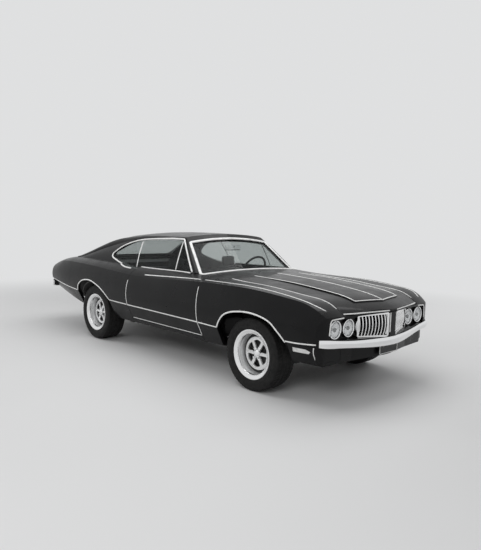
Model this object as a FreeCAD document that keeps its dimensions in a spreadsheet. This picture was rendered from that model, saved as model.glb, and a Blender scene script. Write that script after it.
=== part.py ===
"""Two-door fastback muscle car, full size, built as separate panels, running gear and cabin pieces.

Frame: millimetres, +X forwards, +Y to the car's left, +Z up. The origin lies on the ground under the middle of
the car's length and width.
"""
import FreeCAD, Part
import math
import os
import Sketcher
from FreeCAD import Vector as V

doc = FreeCAD.newDocument("muscle_car")
sheet = doc.addObject("Spreadsheet::Sheet", "sizes")

# alias, value in mm or degrees, what it is
DRIVING = [
    ("front_reach", 2580, "origin to the face of the front bumper"),
    ("rear_reach", 2580, "origin to the face of the rear bumper"),
    ("half_width", 965, "origin to the widest point of the body side"),
    ("front_axle_x", 1630, "front wheel centres, forwards of the origin"),
    ("rear_axle_x", -1215, "rear wheel centres"),
    ("wheel_plane_y", 787, "centre plane of each wheel"),
    ("tyre_radius", 343, "tyre, outside"),
    ("tyre_width", 245, "tyre section width"),
    ("tread_width", 196, "flat of the tread"),
    ("tyre_sides", 60, "flat sides round each tyre"),
    ("rim_radius", 231, "rim flange, outside"),
    ("rim_lip", 38, "width of the polished outer lip"),
    ("rim_depth", 222, "rim, flange to flange"),
    ("dish_depth", 78, "lip face to the face of the spokes"),
    ("spoke_ring_radius", 156, "outside of the ring that carries the spokes"),
    ("window_radius", 128, "outside of the windows between the spokes"),
    ("window_inner", 46, "inside of the windows between the spokes"),
    ("spoke_width", 30, "width of each spoke at its middle"),
    ("spoke_plate", 14, "thickness of the spoke plate"),
    ("hub_bore", 34, "bore of the wheel over the hub"),
    ("cap_radius", 33, "hub cap"),
    ("running_gap", 6, "shut line round doors, hood and trunk lid"),
    ("skin", 30, "thickness of the fenders, hood and lid"),
    ("roof_skin", 42, "thickness of the roof and pillars"),
    ("seat_gap", 0.3, "clearance of a piece from its seat"),
    ("door_front_x", 895, "front shut line of the doors"),
    ("door_rear_x", -415, "rear shut line of the doors"),
    ("door_sill_z", 386, "bottom shut line of the doors"),
    ("cabin_half", 735, "centre plane to the inner face of a door"),
    ("firewall_x", 898, "front of the cabin"),
    ("bulkhead_x", -1150, "back of the cabin"),
    ("trunk_front_x", -1790, "front edge of the trunk lid"),
    ("trunk_half", 600, "half width of the trunk lid"),
    ("hood_rear_x", 850, "rear edge of the hood on the centre plane"),
    ("hood_rear_side", 792, "rear edge of the hood at its sides"),
    ("hood_half", 620, "shut line between the hood and the fenders"),
    ("nose_depth", 195, "front bumper's face to the joint between the fenders and the nose panel"),
    ("nose_floor_z", 545, "bottom of the nose panel"),
    ("lamp_radius", 70, "sealed-beam head lamp"),
    ("lamp_outer_y", 694, "centre of the outer head lamps"),
    ("lamp_inner_y", 505, "centre of the inner head lamps"),
    ("lamp_z", 676, "height of the head lamps"),
    ("lamp_bezel", 12, "width of the bright ring round each lamp"),
    ("glass", 5, "thickness of the window glass"),
    ("glass_inset", 7, "glass below the outer surface"),
    ("brake_radius", 140, "brake drum"),
    ("axle_radius", 42, "rear axle tube"),
    ("plate_spacing", 178, "between the two screws of a licence plate"),
    ("plate_hole", 3.5, "radius of the licence plate screw holes"),
]


def fill_sheet():
    for row, (alias, value, note) in enumerate(DRIVING, start=1):
        sheet.set(f"A{row}", alias)
        sheet.set(f"B{row}", str(value))
        sheet.setAlias(f"B{row}", alias)
        sheet.set(f"C{row}", note)
    doc.recompute()


def size(alias):
    return float(sheet.get(alias))


fill_sheet()
nodes = []
front = size("front_reach")
rear = -size("rear_reach")


def keep(shape, label):
    """A sub-part whose shape is made with Part's own functions."""
    shape = shape.removeSplitter()
    piece = doc.addObject("Part::Feature", label)
    piece.Label = label
    piece.Shape = shape
    nodes.append(piece)
    return piece


def box(x0, x1, y0, y1, z0, z1):
    """A block between two corners, with the corners in any order."""
    low = V(min(x0, x1), min(y0, y1), min(z0, z1))
    return Part.makeBox(abs(x1 - x0), abs(y1 - y0), abs(z1 - z0), low)


def mirrored(shape):
    """The same shape on the other side of the car."""
    return shape.mirror(V(0, 0, 0), V(0, 1, 0))


def both_sides(shape):
    return shape.fuse(mirrored(shape))


def outline(steps, place):
    """A closed wire. A step of one point is a line to it, and a step of two is an arc through the first."""
    points = [place(*step[-1]) for step in steps]
    edges = []
    for index, step in enumerate(steps):
        start = points[index - 1]
        if len(step) == 1:
            edges.append(Part.makeLine(start, points[index]))
        else:
            edges.append(Part.Arc(start, place(*step[0]), points[index]).toShape())
    return Part.Wire(edges)


def side_prism(steps, y0, y1):
    """An outline in side view (x, z), carried across the car from y0 to y1."""
    wire = outline(steps, lambda x, z: V(x, min(y0, y1), z))
    return Part.Face(wire).extrude(V(0, abs(y1 - y0), 0))


def plan_prism(steps, z0, z1):
    """An outline in plan (x, y), carried up from z0 to z1."""
    wire = outline(steps, lambda x, y: V(x, y, z0))
    return Part.Face(wire).extrude(V(0, 0, z1 - z0))


def front_prism(steps, x0, x1):
    """An outline in front view (y, z), carried along the car from x0 to x1."""
    wire = outline(steps, lambda y, z: V(x0, y, z))
    return Part.Face(wire).extrude(V(x1 - x0, 0, 0))


def tube(start, end, radius):
    along = end - start
    return Part.makeCylinder(radius, along.Length, start, along)


# ---- the body's lower surface -------------------------------------------------------------------
# One row for each cross-section. Widths run from the centre plane and heights from the ground:
# x, sill (w, z), crease (w, z), middle of the side (w, z), shoulder (w, z), top edge (w, z), crown z
BODY_SECTIONS = [
    (front + 40, (760, 395), (800, 585), (808, 620), (750, 655), (580, 680), 768),
    (front - 120, (800, 380), (872, 578), (882, 672), (822, 762), (602, 782), 862),
    (front - 280, (818, 362), (915, 560), (932, 705), (872, 872), (608, 880), 906),
    (2080, (832, 350), (937, 546), (954, 718), (896, 917), (614, 915), 938),
    (1630, (840, 340), (945, 537), (965, 722), (912, 951), (620, 952), 980),
    (1228, (840, 336), (942, 534), (962, 722), (914, 951), (632, 966), 1003),
    (700, (840, 335), (942, 540), (960, 720), (912, 936), (738, 992), 1022),
    (-150, (840, 335), (942, 545), (960, 716), (906, 896), (800, 982), 1018),
    (-1215, (840, 345), (946, 566), (965, 722), (908, 932), (765, 1000), 1030),
    (-1800, (832, 420), (936, 598), (956, 742), (894, 944), (735, 1004), 1030),
    (rear + 380, (815, 500), (916, 638), (935, 752), (866, 926), (706, 976), 994),
    (rear + 160, (796, 542), (892, 662), (908, 756), (836, 880), (690, 930), 946),
    (rear - 60, (775, 565), (862, 675), (876, 750), (800, 822), (668, 850), 860),
]


def body_section(row, inset):
    x, sill, crease, middle, shoulder, edge, crown = row

    def at(side, point, dw, dz):
        return V(x, side * (point[0] - dw), point[1] - dz)

    half = inset / 2
    ring = []
    for side in (-1, 1):
        p = [
            at(side, sill, inset, -inset),
            at(side, crease, inset, 0),
            at(side, middle, inset, 0),
            at(side, shoulder, inset, half),
            at(side, edge, half, inset),
        ]
        bow = (p[3] + p[4]) * 0.5 + V(0, side * 4, 7)
        ring.append((p, bow))
    (r, right_bow), (l, left_bow) = ring
    top = V(x, 0, crown - inset)
    edges = [
        Part.makeLine(l[0], r[0]),
        Part.makeLine(r[0], r[1]),
        Part.Arc(r[1], r[2], r[3]).toShape(),
        Part.Arc(r[3], right_bow, r[4]).toShape(),
        Part.Arc(r[4], top, l[4]).toShape(),
        Part.Arc(l[4], left_bow, l[3]).toShape(),
        Part.Arc(l[3], l[2], l[1]).toShape(),
        Part.makeLine(l[1], l[0]),
    ]
    return Part.Wire(edges)


def body_solid(inset):
    return Part.makeLoft([body_section(row, inset) for row in BODY_SECTIONS], True, False)


# plan of the nose and tail: the half outline, from the centre plane outwards, as (x, w)
NOSE_PLAN = [(front - 24, 42), (front - 106, 455), (front - 144, 800)]
NOSE_CORNER = [(front - 168, 872), (front - 250, 960)]
TAIL_PLAN = [(rear + 24, 0), (rear + 50, 560), (rear + 90, 800)]
TAIL_CORNER = [(rear + 118, 880), (rear + 200, 945)]


def other_side(steps):
    return [[(x, -w) for x, w in step] for step in steps]


def body_plan(back=0):
    """The body's outline from above, with the nose moved back by a distance."""
    middle, inner, outer = [(x - back, w) for x, w in NOSE_PLAN]
    corner = [(x - back, w) for x, w in NOSE_CORNER]
    left = [[middle], [inner], [outer], corner, [(corner[1][0], 1100)], [(TAIL_CORNER[1][0], 1100)],
            [TAIL_CORNER[1]], [TAIL_CORNER[0], TAIL_PLAN[2]], [TAIL_PLAN[1]], [TAIL_PLAN[0]]]
    right = [[TAIL_PLAN[1]], [TAIL_PLAN[2]], TAIL_CORNER, [(TAIL_CORNER[1][0], 1100)],
             [(corner[1][0], 1100)], [corner[1]], [corner[0], outer], [inner], [middle]]
    return plan_prism(left + other_side(right), 0, 1600)


FAR_AHEAD = front + 420
TAIL_PROFILE = [[(FAR_AHEAD, 0)], [(FAR_AHEAD, 1600)], [(rear + 132, 1600)], [(rear + 132, 936)],
                [(rear + 60, 850), (rear + 24, 742)], [(rear + 52, 640)], [(rear + 90, 540)], [(rear + 100, 0)]]


def greenhouse_section(row, inset):
    """Cabin top at one station: side, gutter arc, sail face and roof arc, its base in the lower body."""
    x, middle, gutter, peak, end, foot, crown = row
    base_w = 798

    def at(side, point, dw, dz):
        return V(x, side * (point[0] - dw), point[1] - dz)

    half = inset / 2
    ring = []
    for side in (-1, 1):
        ring.append([
            V(x, side * (base_w - inset), 900),
            at(side, middle, inset, 0),
            at(side, gutter, inset, half),
            at(side, peak, inset, inset),
            at(side, end, inset, inset),
            at(side, foot, inset, inset),
        ])
    r, l = ring
    top = V(x, 0, crown - inset)
    edges = [
        Part.makeLine(l[0], r[0]),
        Part.Arc(r[0], r[1], r[2]).toShape(),
        Part.Arc(r[2], r[3], r[4]).toShape(),
        Part.makeLine(r[4], r[5]),
        Part.Arc(r[5], top, l[5]).toShape(),
        Part.makeLine(l[5], l[4]),
        Part.Arc(l[4], l[3], l[2]).toShape(),
        Part.Arc(l[2], l[1], l[0]).toShape(),
    ]
    return Part.Wire(edges)


# x, middle of the side (w, z), gutter (w, z), top of the rail (w, z), its inner end (w, z), sail foot (w, z), crown z
GREENHOUSE_SECTIONS = [
    (760, (703, 1140), (606, 1328), (594, 1348), (562, 1362), (520, 1369), 1394),
    (300, (703, 1140), (606, 1332), (594, 1352), (562, 1366), (520, 1373), 1401),
    (-100, (704, 1138), (607, 1324), (595, 1346), (562, 1361), (520, 1369), 1405),
    (-600, (706, 1126), (609, 1298), (596, 1325), (564, 1345), (520, 1355), 1393),
    (-950, (712, 1106), (613, 1256), (599, 1288), (568, 1312), (522, 1324), 1356),
    (-1150, (717, 1092), (622, 1214), (606, 1256), (578, 1284), (538, 1276), 1302),
    (-1400, (732, 1062), (652, 1152), (634, 1196), (608, 1220), (572, 1172), 1186),
    (-1740, (757, 1012), (716, 1046), (702, 1074), (682, 1090), (640, 1006), 1018),
    (-2010, (766, 986), (744, 992), (732, 1003), (714, 1004), (690, 950), 955),
]


def greenhouse_solid(inset):
    return Part.makeLoft([greenhouse_section(row, inset) for row in GREENHOUSE_SECTIONS], True, False)


# the windshield: its foot in plan bows forwards, and it leans back along one direction
SHIELD_CORNER = (642, 730)
SHIELD_BOW = 742
SHIELD_Z = 1002
LEAN = V(-403, 0, 332)


def shield_cut(inset):
    """Everything behind the windshield's outer surface, moved inwards by the inset."""
    back = inset / 0.636
    reach = 0.42
    low = V(LEAN).multiply(-reach)
    x, w = SHIELD_CORNER
    steps = [[(SHIELD_BOW - back, 0), (x - back, w)], [(x - back - 150, 1000)], [(-2800, 1000)],
             [(-2800, -1000)], [(x - back - 150, -1000)], [(x - back, -w)]]
    wire = outline(steps, lambda px, py: V(px, py, SHIELD_Z) + low)
    return Part.Face(wire).extrude(V(LEAN).multiply(1 + 2 * reach))


# ---- fixed values shared by the panels ----------------------------------------------------------
skin = size("skin")
roof_skin = size("roof_skin")
half_gap = size("running_gap") / 2
seat = size("seat_gap")
cabin = size("cabin_half")
door_front = size("door_front_x")
door_rear = size("door_rear_x")
sill = size("door_sill_z")
hood_half = size("hood_half")
nose_joint = front - size("nose_depth")
LAMP_WALL = nose_joint + 17
HOOD_LIP = 793
VALANCE_TOP, VALANCE_REAR = 544, 2088
front_axle = size("front_axle_x")
rear_axle_x = size("rear_axle_x")
wheel_y = size("wheel_plane_y")
axle_z = size("tyre_radius")

DOOR_TOP_CORNER = (780, 1016)
DOOR_SLANT_Z = 900
DOOR_BEVEL = 30
DOOR_TOP_GAP = 7

nose_and_tail = body_plan().common(side_prism(TAIL_PROFILE, -1200, 1200))
lower = body_solid(0).common(nose_and_tail)
lower_inner = body_solid(skin)
lower_seat = body_solid(skin + seat)
HOLLOW_REAR = rear + 90
HOLLOW_PLAN = [[(HOLLOW_REAR, 620)], [(rear + 150, 800)], [(rear + 250, 900)], [(rear + 250, 1100)],
               [(FAR_AHEAD, 1100)]]
hollow_plan = plan_prism(HOLLOW_PLAN + other_side(reversed(HOLLOW_PLAN)), 0, 1300)
cabin_top = greenhouse_solid(0).common(shield_cut(0))
cabin_inner = greenhouse_solid(roof_skin).common(shield_cut(roof_skin))

# wheel arches in side view, measured from the wheel centre
FRONT_ARCH = [[(-452, 250)], [(-442, 533)], [(-331, 669)], [(-230, 708), (-140, 728)], [(-30, 739), (71, 736)],
              [(160, 725), (234, 706)], [(297, 677), (346, 636)], [(400, 592), (442, 540)], [(470, 250)]]
REAR_ARCH = [[(-430, 250)], [(-400, 583)], [(-375, 634), (-342, 676)], [(-232, 733), (-102, 749)],
             [(0, 741), (102, 715)], [(196, 685), (274, 646)], [(345, 602), (401, 554)], [(420, 250)]]


def arch(steps, x, y0, y1):
    return side_prism([[(px + x, pz) for px, pz in step] for step in steps], y0, y1)


front_arch = arch(FRONT_ARCH, front_axle, 560, 1100)
rear_arch = arch(REAR_ARCH, rear_axle_x, 560, 1100)


def door_region(grow, y0, y1):
    """The door's side view between its shut lines; its rear edge slopes forwards towards the cabin."""
    ahead, behind, low = door_front + grow, door_rear - grow, sill - grow
    top_x, top_z = DOOR_TOP_CORNER
    bevel = DOOR_BEVEL * (size("half_width") - y0) / (size("half_width") - cabin)
    plan = plan_prism([[(2000, y0)], [(2000, y1)], [(behind, y1)], [(behind, size("half_width"))],
                       [(behind + bevel, y0)]], 0, 1200)
    side = side_prism([[(behind - 100, low)], [(ahead, low)], [(ahead, DOOR_SLANT_Z)], [(top_x + grow, top_z)],
                       [(top_x + grow, 1150)], [(behind - 100, 1150)]], y0, y1)
    return plan.common(side)


# side-window opening in side view
SILL_LINE = 962
WINDOW_TAIL = [[(-880, 1225), (-1062, 1130)], [(-1098, 1090), (-1056, 1052)]]
SIDE_OPENING = [[(-790, 993), (-500, SILL_LINE)], [(585, SILL_LINE)], [(572, 992)], [(212, 1330)],
                [(-190, 1316), (-579, 1288)]] + WINDOW_TAIL
side_opening = side_prism(SIDE_OPENING, 500, 1000)


def slanted(point, along):
    """Place in the slanted plane of a window, from its centre plane and its distance up the glass."""
    return lambda y, s: point + V(along).multiply(s / along.Length) + V(0, y, 0)


SHIELD_OPENING = [[(0, 40), (716, 30)], [(578, 520)], [(0, 540), (-578, 520)], [(-716, 30)]]
shield_low = V(SHIELD_BOW, 0, SHIELD_Z)
shield_normal = V(LEAN.z, 0, -LEAN.x).normalize()


def shield_opening(shrink):
    wire = outline(SHIELD_OPENING, slanted(shield_low - V(shield_normal).multiply(200), LEAN))
    face = Part.Face(wire)
    if shrink:
        face = Part.Face(face.OuterWire.makeOffset2D(-shrink))
    return face.extrude(V(shield_normal).multiply(330))


BACK_OPENING = [[(-1092, 0), (-1112, 490)], [(-1390, 545), (-1662, 600)], [(-1676, 0), (-1662, -600)],
                [(-1390, -545), (-1112, -490)]]


def back_opening(shrink):
    face = Part.Face(outline(BACK_OPENING, lambda x, y: V(x, y, 960)))
    if shrink:
        face = Part.Face(face.OuterWire.makeOffset2D(-shrink))
    return face.extrude(V(0, 0, 500))


def lid_region(grow):
    ahead, half = size("trunk_front_x") + grow, size("trunk_half") + grow
    return box(rear - 120, ahead, -half, half, 846 - grow, 1200)


def hood_rear(grow):
    """Plan of all ahead of the hood's rear edge and, beyond its sides, ahead of the fenders' rear edges."""
    centre, side = size("hood_rear_x") - grow, size("hood_rear_side") - grow
    return plan_prism([[(centre, 0), (side, hood_half)], [(FAR_AHEAD, hood_half)], [(FAR_AHEAD, -hood_half)],
                       [(side, -hood_half)]], 0, 1300)


def fender_rear(grow, y0, y1):
    top_x, top_z = DOOR_TOP_CORNER
    edge = door_front - grow
    return side_prism([[(edge, 0)], [(edge, DOOR_SLANT_Z)], [(top_x - grow, top_z)], [(top_x - grow, 1300)],
                       [(FAR_AHEAD, 1300)], [(FAR_AHEAD, 0)]], y0, y1)


# ---- body shell ---------------------------------------------------------------------------------
firewall = size("firewall_x")
ahead = hood_rear(half_gap).fuse(both_sides(fender_rear(half_gap, hood_half - half_gap, 1200)))
shell = lower.cut(ahead)
shell = shell.cut(lower_inner.common(hollow_plan).common(box(rear, door_rear - 30, -1100, 1100, 0, 1300)))
shell = shell.cut(box(rear + 130, firewall, -700, 700, 0, 420))
shell = shell.cut(box(rear + 130, rear_axle_x + 300, -800, 800, 0, 700))
shell = shell.cut(box(size("bulkhead_x"), 700, -cabin, cabin, 300, 972))
shell = shell.cut(box(690, 1200, -cabin, cabin, 300, 850))
top_shell = cabin_top.cut(cabin_inner)
top_shell = top_shell.cut(box(-2100, 800, -cabin, cabin, 880, 972))
shell = shell.fuse(top_shell)
shell = shell.cut(cabin_inner)
door_room = body_solid(-DOOR_TOP_GAP).common(door_region(half_gap, cabin - 1, 1100))
shell = shell.cut(both_sides(door_room))
shell = shell.cut(both_sides(side_opening))
shell = shell.cut(shield_opening(0)).cut(back_opening(0))
shell = shell.cut(both_sides(rear_arch)).cut(lid_region(half_gap))
wall = box(firewall, firewall + 25, -900, 900, 338, 966).fuse(box(760, firewall + 25, -700, 700, 850, 962))
wall = wall.fuse(both_sides(box(700, firewall + 25, cabin - 130, cabin - 6, 800, 962)))
wall = wall.cut(box(850, 1000, -176, 176, 300, 626))
# hinge leaves on the door posts, which the closed doors bear on
for leaf_z in (470, 760):
    leaf = box(door_front - half_gap + seat, firewall + 2, cabin + 35, cabin + 95, leaf_z, leaf_z + 70)
    wall = wall.fuse(both_sides(leaf))
wall = wall.fuse(both_sides(box(-1860, size("trunk_front_x") + 26, 400, 432, 950, 1100)))
wall = wall.common(lower_seat)
strap_x = size("trunk_front_x")
wall = wall.fuse(both_sides(box(strap_x + half_gap, strap_x + 26, 400, 432, 950, 1012)))
shell = shell.fuse(wall)
# slots for the tail lamps in the rear panel
LAMP_Y, LAMP_HALF, LAMP_LOW, LAMP_HIGH = (455, 590), 48, 668, 800
LAMP_FLOOR = rear + 68


def tail_lamp_block(grow, x0, x1):
    block = None
    for y in LAMP_Y:
        one = box(x0, x1, y - LAMP_HALF - grow, y + LAMP_HALF + grow, LAMP_LOW - grow, LAMP_HIGH + grow)
        block = one if block is None else block.fuse(one)
    return both_sides(block)


shell = shell.cut(tail_lamp_block(seat, rear - 120, LAMP_FLOOR))

# ---- fenders, nose, hood, lid and doors ---------------------------------------------------------
clip_skin = lower.cut(lower_inner)
fender = clip_skin.common(fender_rear(-half_gap, hood_half + half_gap, 1200))
lower_side = clip_skin.common(box(door_front + half_gap, FAR_AHEAD, 700, 1200, 0, 700))
fender = fender.fuse(lower_side).cut(front_arch)
fender = fender.cut(box(nose_joint, FAR_AHEAD, -1200, 1200, 0, 1300))
fender = fender.cut(box(VALANCE_REAR - 8, FAR_AHEAD, 0, 1200, 0, VALANCE_TOP + 4))

nose = lower.common(box(nose_joint + seat, FAR_AHEAD, -1200, 1200, size("nose_floor_z"), 1300))
hood_room = box(0, FAR_AHEAD, half_gap - hood_half, hood_half - half_gap, 650, 1300)
hood_room = hood_room.cut(box(LAMP_WALL + 3, FAR_AHEAD, -800, 800, 0, HOOD_LIP + half_gap))
hood_core = body_solid(skin).common(box(0, LAMP_WALL + 10, -1100, 1100, 0, 1300))
hood = lower.common(hood_rear(-half_gap)).common(hood_room).cut(hood_core)
bulge = plan_prism([[(990, -356)], [(front - 210, -356)], [(front - 144, 0)], [(front - 210, 356)],
                    [(990, 356)]],
                   850, 1300)
# rise of the hood's middle over each body section, from the nose backwards
HOOD_RISE = [10, 10, 11, 11, 9, 3]
raised_sections = [body_section(row, -rise) for row, rise in zip(BODY_SECTIONS, HOOD_RISE)]
raised_sections += [body_section(row, 8) for row in BODY_SECTIONS[len(HOOD_RISE):]]
raised = Part.makeLoft(raised_sections, True, False)
hood = hood.fuse(raised.common(bulge).cut(body_solid(skin / 2)))
keep(hood, "hood")
nose = nose.cut(box(0, FAR_AHEAD, -hood_half - half_gap, hood_half + half_gap, HOOD_LIP - half_gap, 1300))

FACE_POCKET = [[(56, 576)], [(56, 776)], [(74, 788)], [(396, 780)], [(758, 760)], [(776, 740)], [(786, 620)],
               [(770, 596)], [(396, 576)], [(74, 562)]]
nose = nose.cut(both_sides(front_prism(FACE_POCKET, LAMP_WALL, FAR_AHEAD)))
lamp_r, ring_w, lamp_z = size("lamp_radius"), size("lamp_bezel"), size("lamp_z")
lamp_centres = [V(0, size("lamp_outer_y"), lamp_z), V(0, size("lamp_inner_y"), lamp_z - 4)]
bowl_r, bowl_depth = lamp_r - 8, 11
for centre in lamp_centres:
    hole = Part.makeCylinder(bowl_r, bowl_depth + 1, V(LAMP_WALL - bowl_depth, centre.y, centre.z), V(1, 0, 0))
    nose = nose.cut(both_sides(hole))

lid = lower.cut(lower_inner.common(hollow_plan)).common(lid_region(-half_gap))
keep(lid, "trunk_lid")
door = lower.common(door_region(-half_gap, cabin, 1100))

# ---- glass --------------------------------------------------------------------------------------
inset, pane = size("glass_inset"), size("glass")
keep(shield_cut(inset).cut(shield_cut(inset + pane)).common(shield_opening(seat)), "windshield")
outer_glass, inner_glass = greenhouse_solid(inset), greenhouse_solid(inset + pane)
keep(outer_glass.cut(inner_glass).common(back_opening(seat)), "back_glass")
PANE_FOOT = 906
PANE_REAR = door_rear + DOOR_BEVEL
DOOR_PANE = [[(545, PANE_FOOT)], [(554, 992)], [(204, 1322)], [(-190, 1308), (-556, 1282)], [(-480, 976)],
             [(PANE_REAR, 976)], [(PANE_REAR, PANE_FOOT)]]
QUARTER_PANE = [[(-790, 993), (-500, SILL_LINE)], [(-582, 1288)]] + WINDOW_TAIL
side_glass = outer_glass.cut(inner_glass)
door_pane = side_glass.common(side_prism(DOOR_PANE, 500, 1000))
loose_slot = greenhouse_solid(inset - seat).cut(greenhouse_solid(inset + pane + seat))
slot = loose_slot.common(box(PANE_REAR - seat, 600, 500, 1000, PANE_FOOT - seat, 1100))
door = door.cut(slot)
keep(door, "door_left")
keep(mirrored(door), "door_right")
keep(door_pane, "door_glass_left")
keep(mirrored(door_pane), "door_glass_right")
quarter_face = Part.Face(outline(QUARTER_PANE, lambda x, z: V(x, 500, z)))
quarter_face = Part.Face(quarter_face.OuterWire.makeOffset2D(-seat))
quarter_pane = side_glass.common(quarter_face.extrude(V(0, 500, 0)))
keep(both_sides(quarter_pane), "quarter_glass")

# ---- bumpers ------------------------------------------------------------------------------------


def blade(rows):
    """A bumper blade: one closed section at each row of (x, y, low z, high z, depth), lofted across."""
    wires = []
    for x, y, low, high, depth, turn in rows:
        c, s = math.cos(math.radians(turn)), math.sin(math.radians(turn))

        def at(out, z):
            return V(x + out * c, y + out * s, z)

        mid = (low + high) / 2
        ring = [at(-depth, low + 6), at(-6, low), at(0, mid), at(-6, high), at(-depth, high - 6)]
        wires.append(Part.Wire([
            Part.makeLine(ring[0], ring[1]),
            Part.Arc(ring[1], ring[2], ring[3]).toShape(),
            Part.makeLine(ring[3], ring[4]),
            Part.makeLine(ring[4], ring[0]),
        ]))
    return Part.makeLoft(wires, True, False)


# x, y, low z, high z, depth, degrees from straight ahead
FRONT_BLADE = [(front - 162, 903, 551, 612, 26, 54), (front - 132, 862, 545, 612, 30, 30),
               (front - 108, 700, 528, 592, 34, 10), (front - 74, 455, 506, 570, 36, 8),
               (front - 32, 240, 492, 566, 38, 7), (front, 0, 490, 566, 38, 0)]
REAR_BLADE = [(rear + 185, 921, 566, 640, 22, 104), (rear + 102, 868, 548, 646, 30, 150),
              (rear + 60, 720, 540, 646, 34, 168), (rear + 18, 420, 536, 646, 36, 175), (rear, 0, 536, 646, 38, 180)]


def full_blade(rows):
    other = [(x, -y, low, high, depth, -turn if turn not in (0, 180) else turn) for x, y, low, high, depth, turn in
             reversed(rows[:-1])]
    return blade(rows + other)


BRACKET = (380, 430, 515, 550)


def bracket(grow):
    """The arm from the frame rail to the back of the front blade."""
    y0, y1, z0, z1 = BRACKET
    return box(front - 280 - grow, front - 80, y0 - grow, y1 + grow, z0 - grow, z1 + grow)


def blade_room(rows):
    return full_blade([(x, y, low - 3, high + 3, depth + seat, turn) for x, y, low, high, depth, turn in rows])


front_blade = full_blade(FRONT_BLADE).fuse(both_sides(bracket(0)))
rear_blade = full_blade(REAR_BLADE)
front_room = blade_room(FRONT_BLADE).fuse(both_sides(bracket(seat)))
nose = nose.cut(front_room)
fender = fender.cut(front_room)
shell = shell.cut(blade_room(REAR_BLADE))
keep(shell, "body_shell")
keep(fender, "front_fender_left")
keep(mirrored(fender), "front_fender_right")
keep(nose, "nose_panel")
keep(front_blade, "front_bumper")
keep(rear_blade, "rear_bumper")

valance_block = lower.common(body_plan(46)).common(box(VALANCE_REAR, FAR_AHEAD, -1200, 1200, 372, VALANCE_TOP))
valance = valance_block.cut(body_solid(skin).common(box(2000, LAMP_WALL + 10, -1100, 1100, 0, 900)))
valance = valance.cut(box(2000, front - 200, -770, 770, 300, 470)).cut(front_room)
valance = valance.cut(both_sides(front_arch))
MARKER = [[(2132, 470)], [(2142, 512)], [(2272, 512)], [(2312, 494)], [(2290, 472)]]
valance = valance.cut(both_sides(side_prism(MARKER, 700, 1100)))
marker_face = Part.Face(outline(MARKER, lambda x, z: V(x, 700, z)))
marker_face = Part.Face(marker_face.OuterWire.makeOffset2D(-seat))
marker = marker_face.extrude(V(0, 400, 0)).common(body_solid(-2)).cut(body_solid(14))
keep(both_sides(marker), "side_markers")
keep(valance, "front_valance")
plate_x = front - 64
plate = box(plate_x, plate_x + 6, -152, 152, 400, 486)
for y in (-1, 1):
    screw = V(plate_x - 8, y * size("plate_spacing") / 2, 470)
    plate = plate.cut(Part.makeCylinder(size("plate_hole"), 20, screw, V(1, 0, 0)))
plate = plate.fuse(both_sides(box(front - 140, plate_x, 40, 60, 440, 480)))
valance_block.translate(V(seat, 0, 0))
keep(plate.cut(valance_block), "front_plate")

# ---- grille and lamps ---------------------------------------------------------------------------
GRILLE_OUTLINE = [[(56, 576)], [(56, 776)], [(74, 788)], [(396, 780)], [(412, 766)], [(412, 592)], [(396, 576)],
                  [(74, 562)]]
GRILLE_INNER, GRILLE_OUTER, GRILLE_RIM = 56, 412, 17
GRILLE_BARS = 9


def grille_x(y):
    """Front of the grille, which leans back more than the nose does towards its outer end."""
    return front - 31 - (y - GRILLE_INNER) * 102 / (GRILLE_OUTER - GRILLE_INNER)


grille_back = LAMP_WALL + seat
frame_out = Part.Face(outline(GRILLE_OUTLINE, lambda y, z: V(grille_back, y, z)))
frame_out = Part.Face(frame_out.OuterWire.makeOffset2D(-seat))
frame_in = Part.Face(frame_out.OuterWire.makeOffset2D(-GRILLE_RIM))
front_line = plan_prism([[(grille_back, 0)], [(grille_x(0), 0)], [(grille_x(500), 500)],
                         [(grille_back, 500)]], 0, 1300)
grille = frame_out.extrude(V(300, 0, 0)).cut(frame_in.extrude(V(300, 0, 0))).common(front_line)
bar_room = Part.Face(frame_out.OuterWire.makeOffset2D(-GRILLE_RIM / 2)).extrude(V(300, 0, 0))
for index in range(GRILLE_BARS):
    y = GRILLE_INNER + GRILLE_RIM + (index + 0.5) * (GRILLE_OUTER - GRILLE_INNER - 2 * GRILLE_RIM) / GRILLE_BARS
    face = grille_x(y)
    bar = side_prism([[(grille_back, 566)], [(face - 32, 566)], [(face - 8, 682), (face - 34, 792)],
                      [(grille_back, 792)]], y - 7, y + 7)
    grille = grille.fuse(bar.common(bar_room))
lamps = []
rings = []
for centre in lamp_centres:
    seat_point = V(LAMP_WALL + seat, centre.y, centre.z)
    bowl = Part.makeCylinder(bowl_r - seat, bowl_depth + 1, seat_point - V(bowl_depth, 0, 0), V(1, 0, 0))
    disc = Part.makeCylinder(lamp_r, 12, seat_point, V(1, 0, 0))
    dome = Part.makeSphere(lamp_r * 2.6, seat_point + V(30 - lamp_r * 2.6, 0, 0))
    dome = dome.common(Part.makeCylinder(lamp_r, 60, seat_point, V(1, 0, 0)))
    lamps.append(bowl.fuse(disc).fuse(dome))
    ring = Part.makeCylinder(lamp_r + ring_w, 16, seat_point, V(1, 0, 0))
    rings.append(ring.cut(Part.makeCylinder(lamp_r + seat, 40, seat_point, V(1, 0, 0))))
keep(both_sides(grille.fuse(rings).cut(front_room)), "grille")
keep(both_sides(lamps[0].fuse(lamps[1])), "head_lamps")
keep(tail_lamp_block(0, rear - 120, LAMP_FLOOR - seat).common(lower), "tail_lamps")

# ---- chassis ------------------------------------------------------------------------------------


def rail(points, wide, tall):
    """A box-section frame rail along straight runs: the points are (x, y, z) of its middle."""
    wires = []
    for x, y, z in points:
        wires.append(Part.makePolygon([V(x, y - wide / 2, z - tall / 2), V(x, y + wide / 2, z - tall / 2),
                                       V(x, y + wide / 2, z + tall / 2), V(x, y - wide / 2, z + tall / 2),
                                       V(x, y - wide / 2, z - tall / 2)]))
    return Part.makeLoft(wires, True, True)


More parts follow.
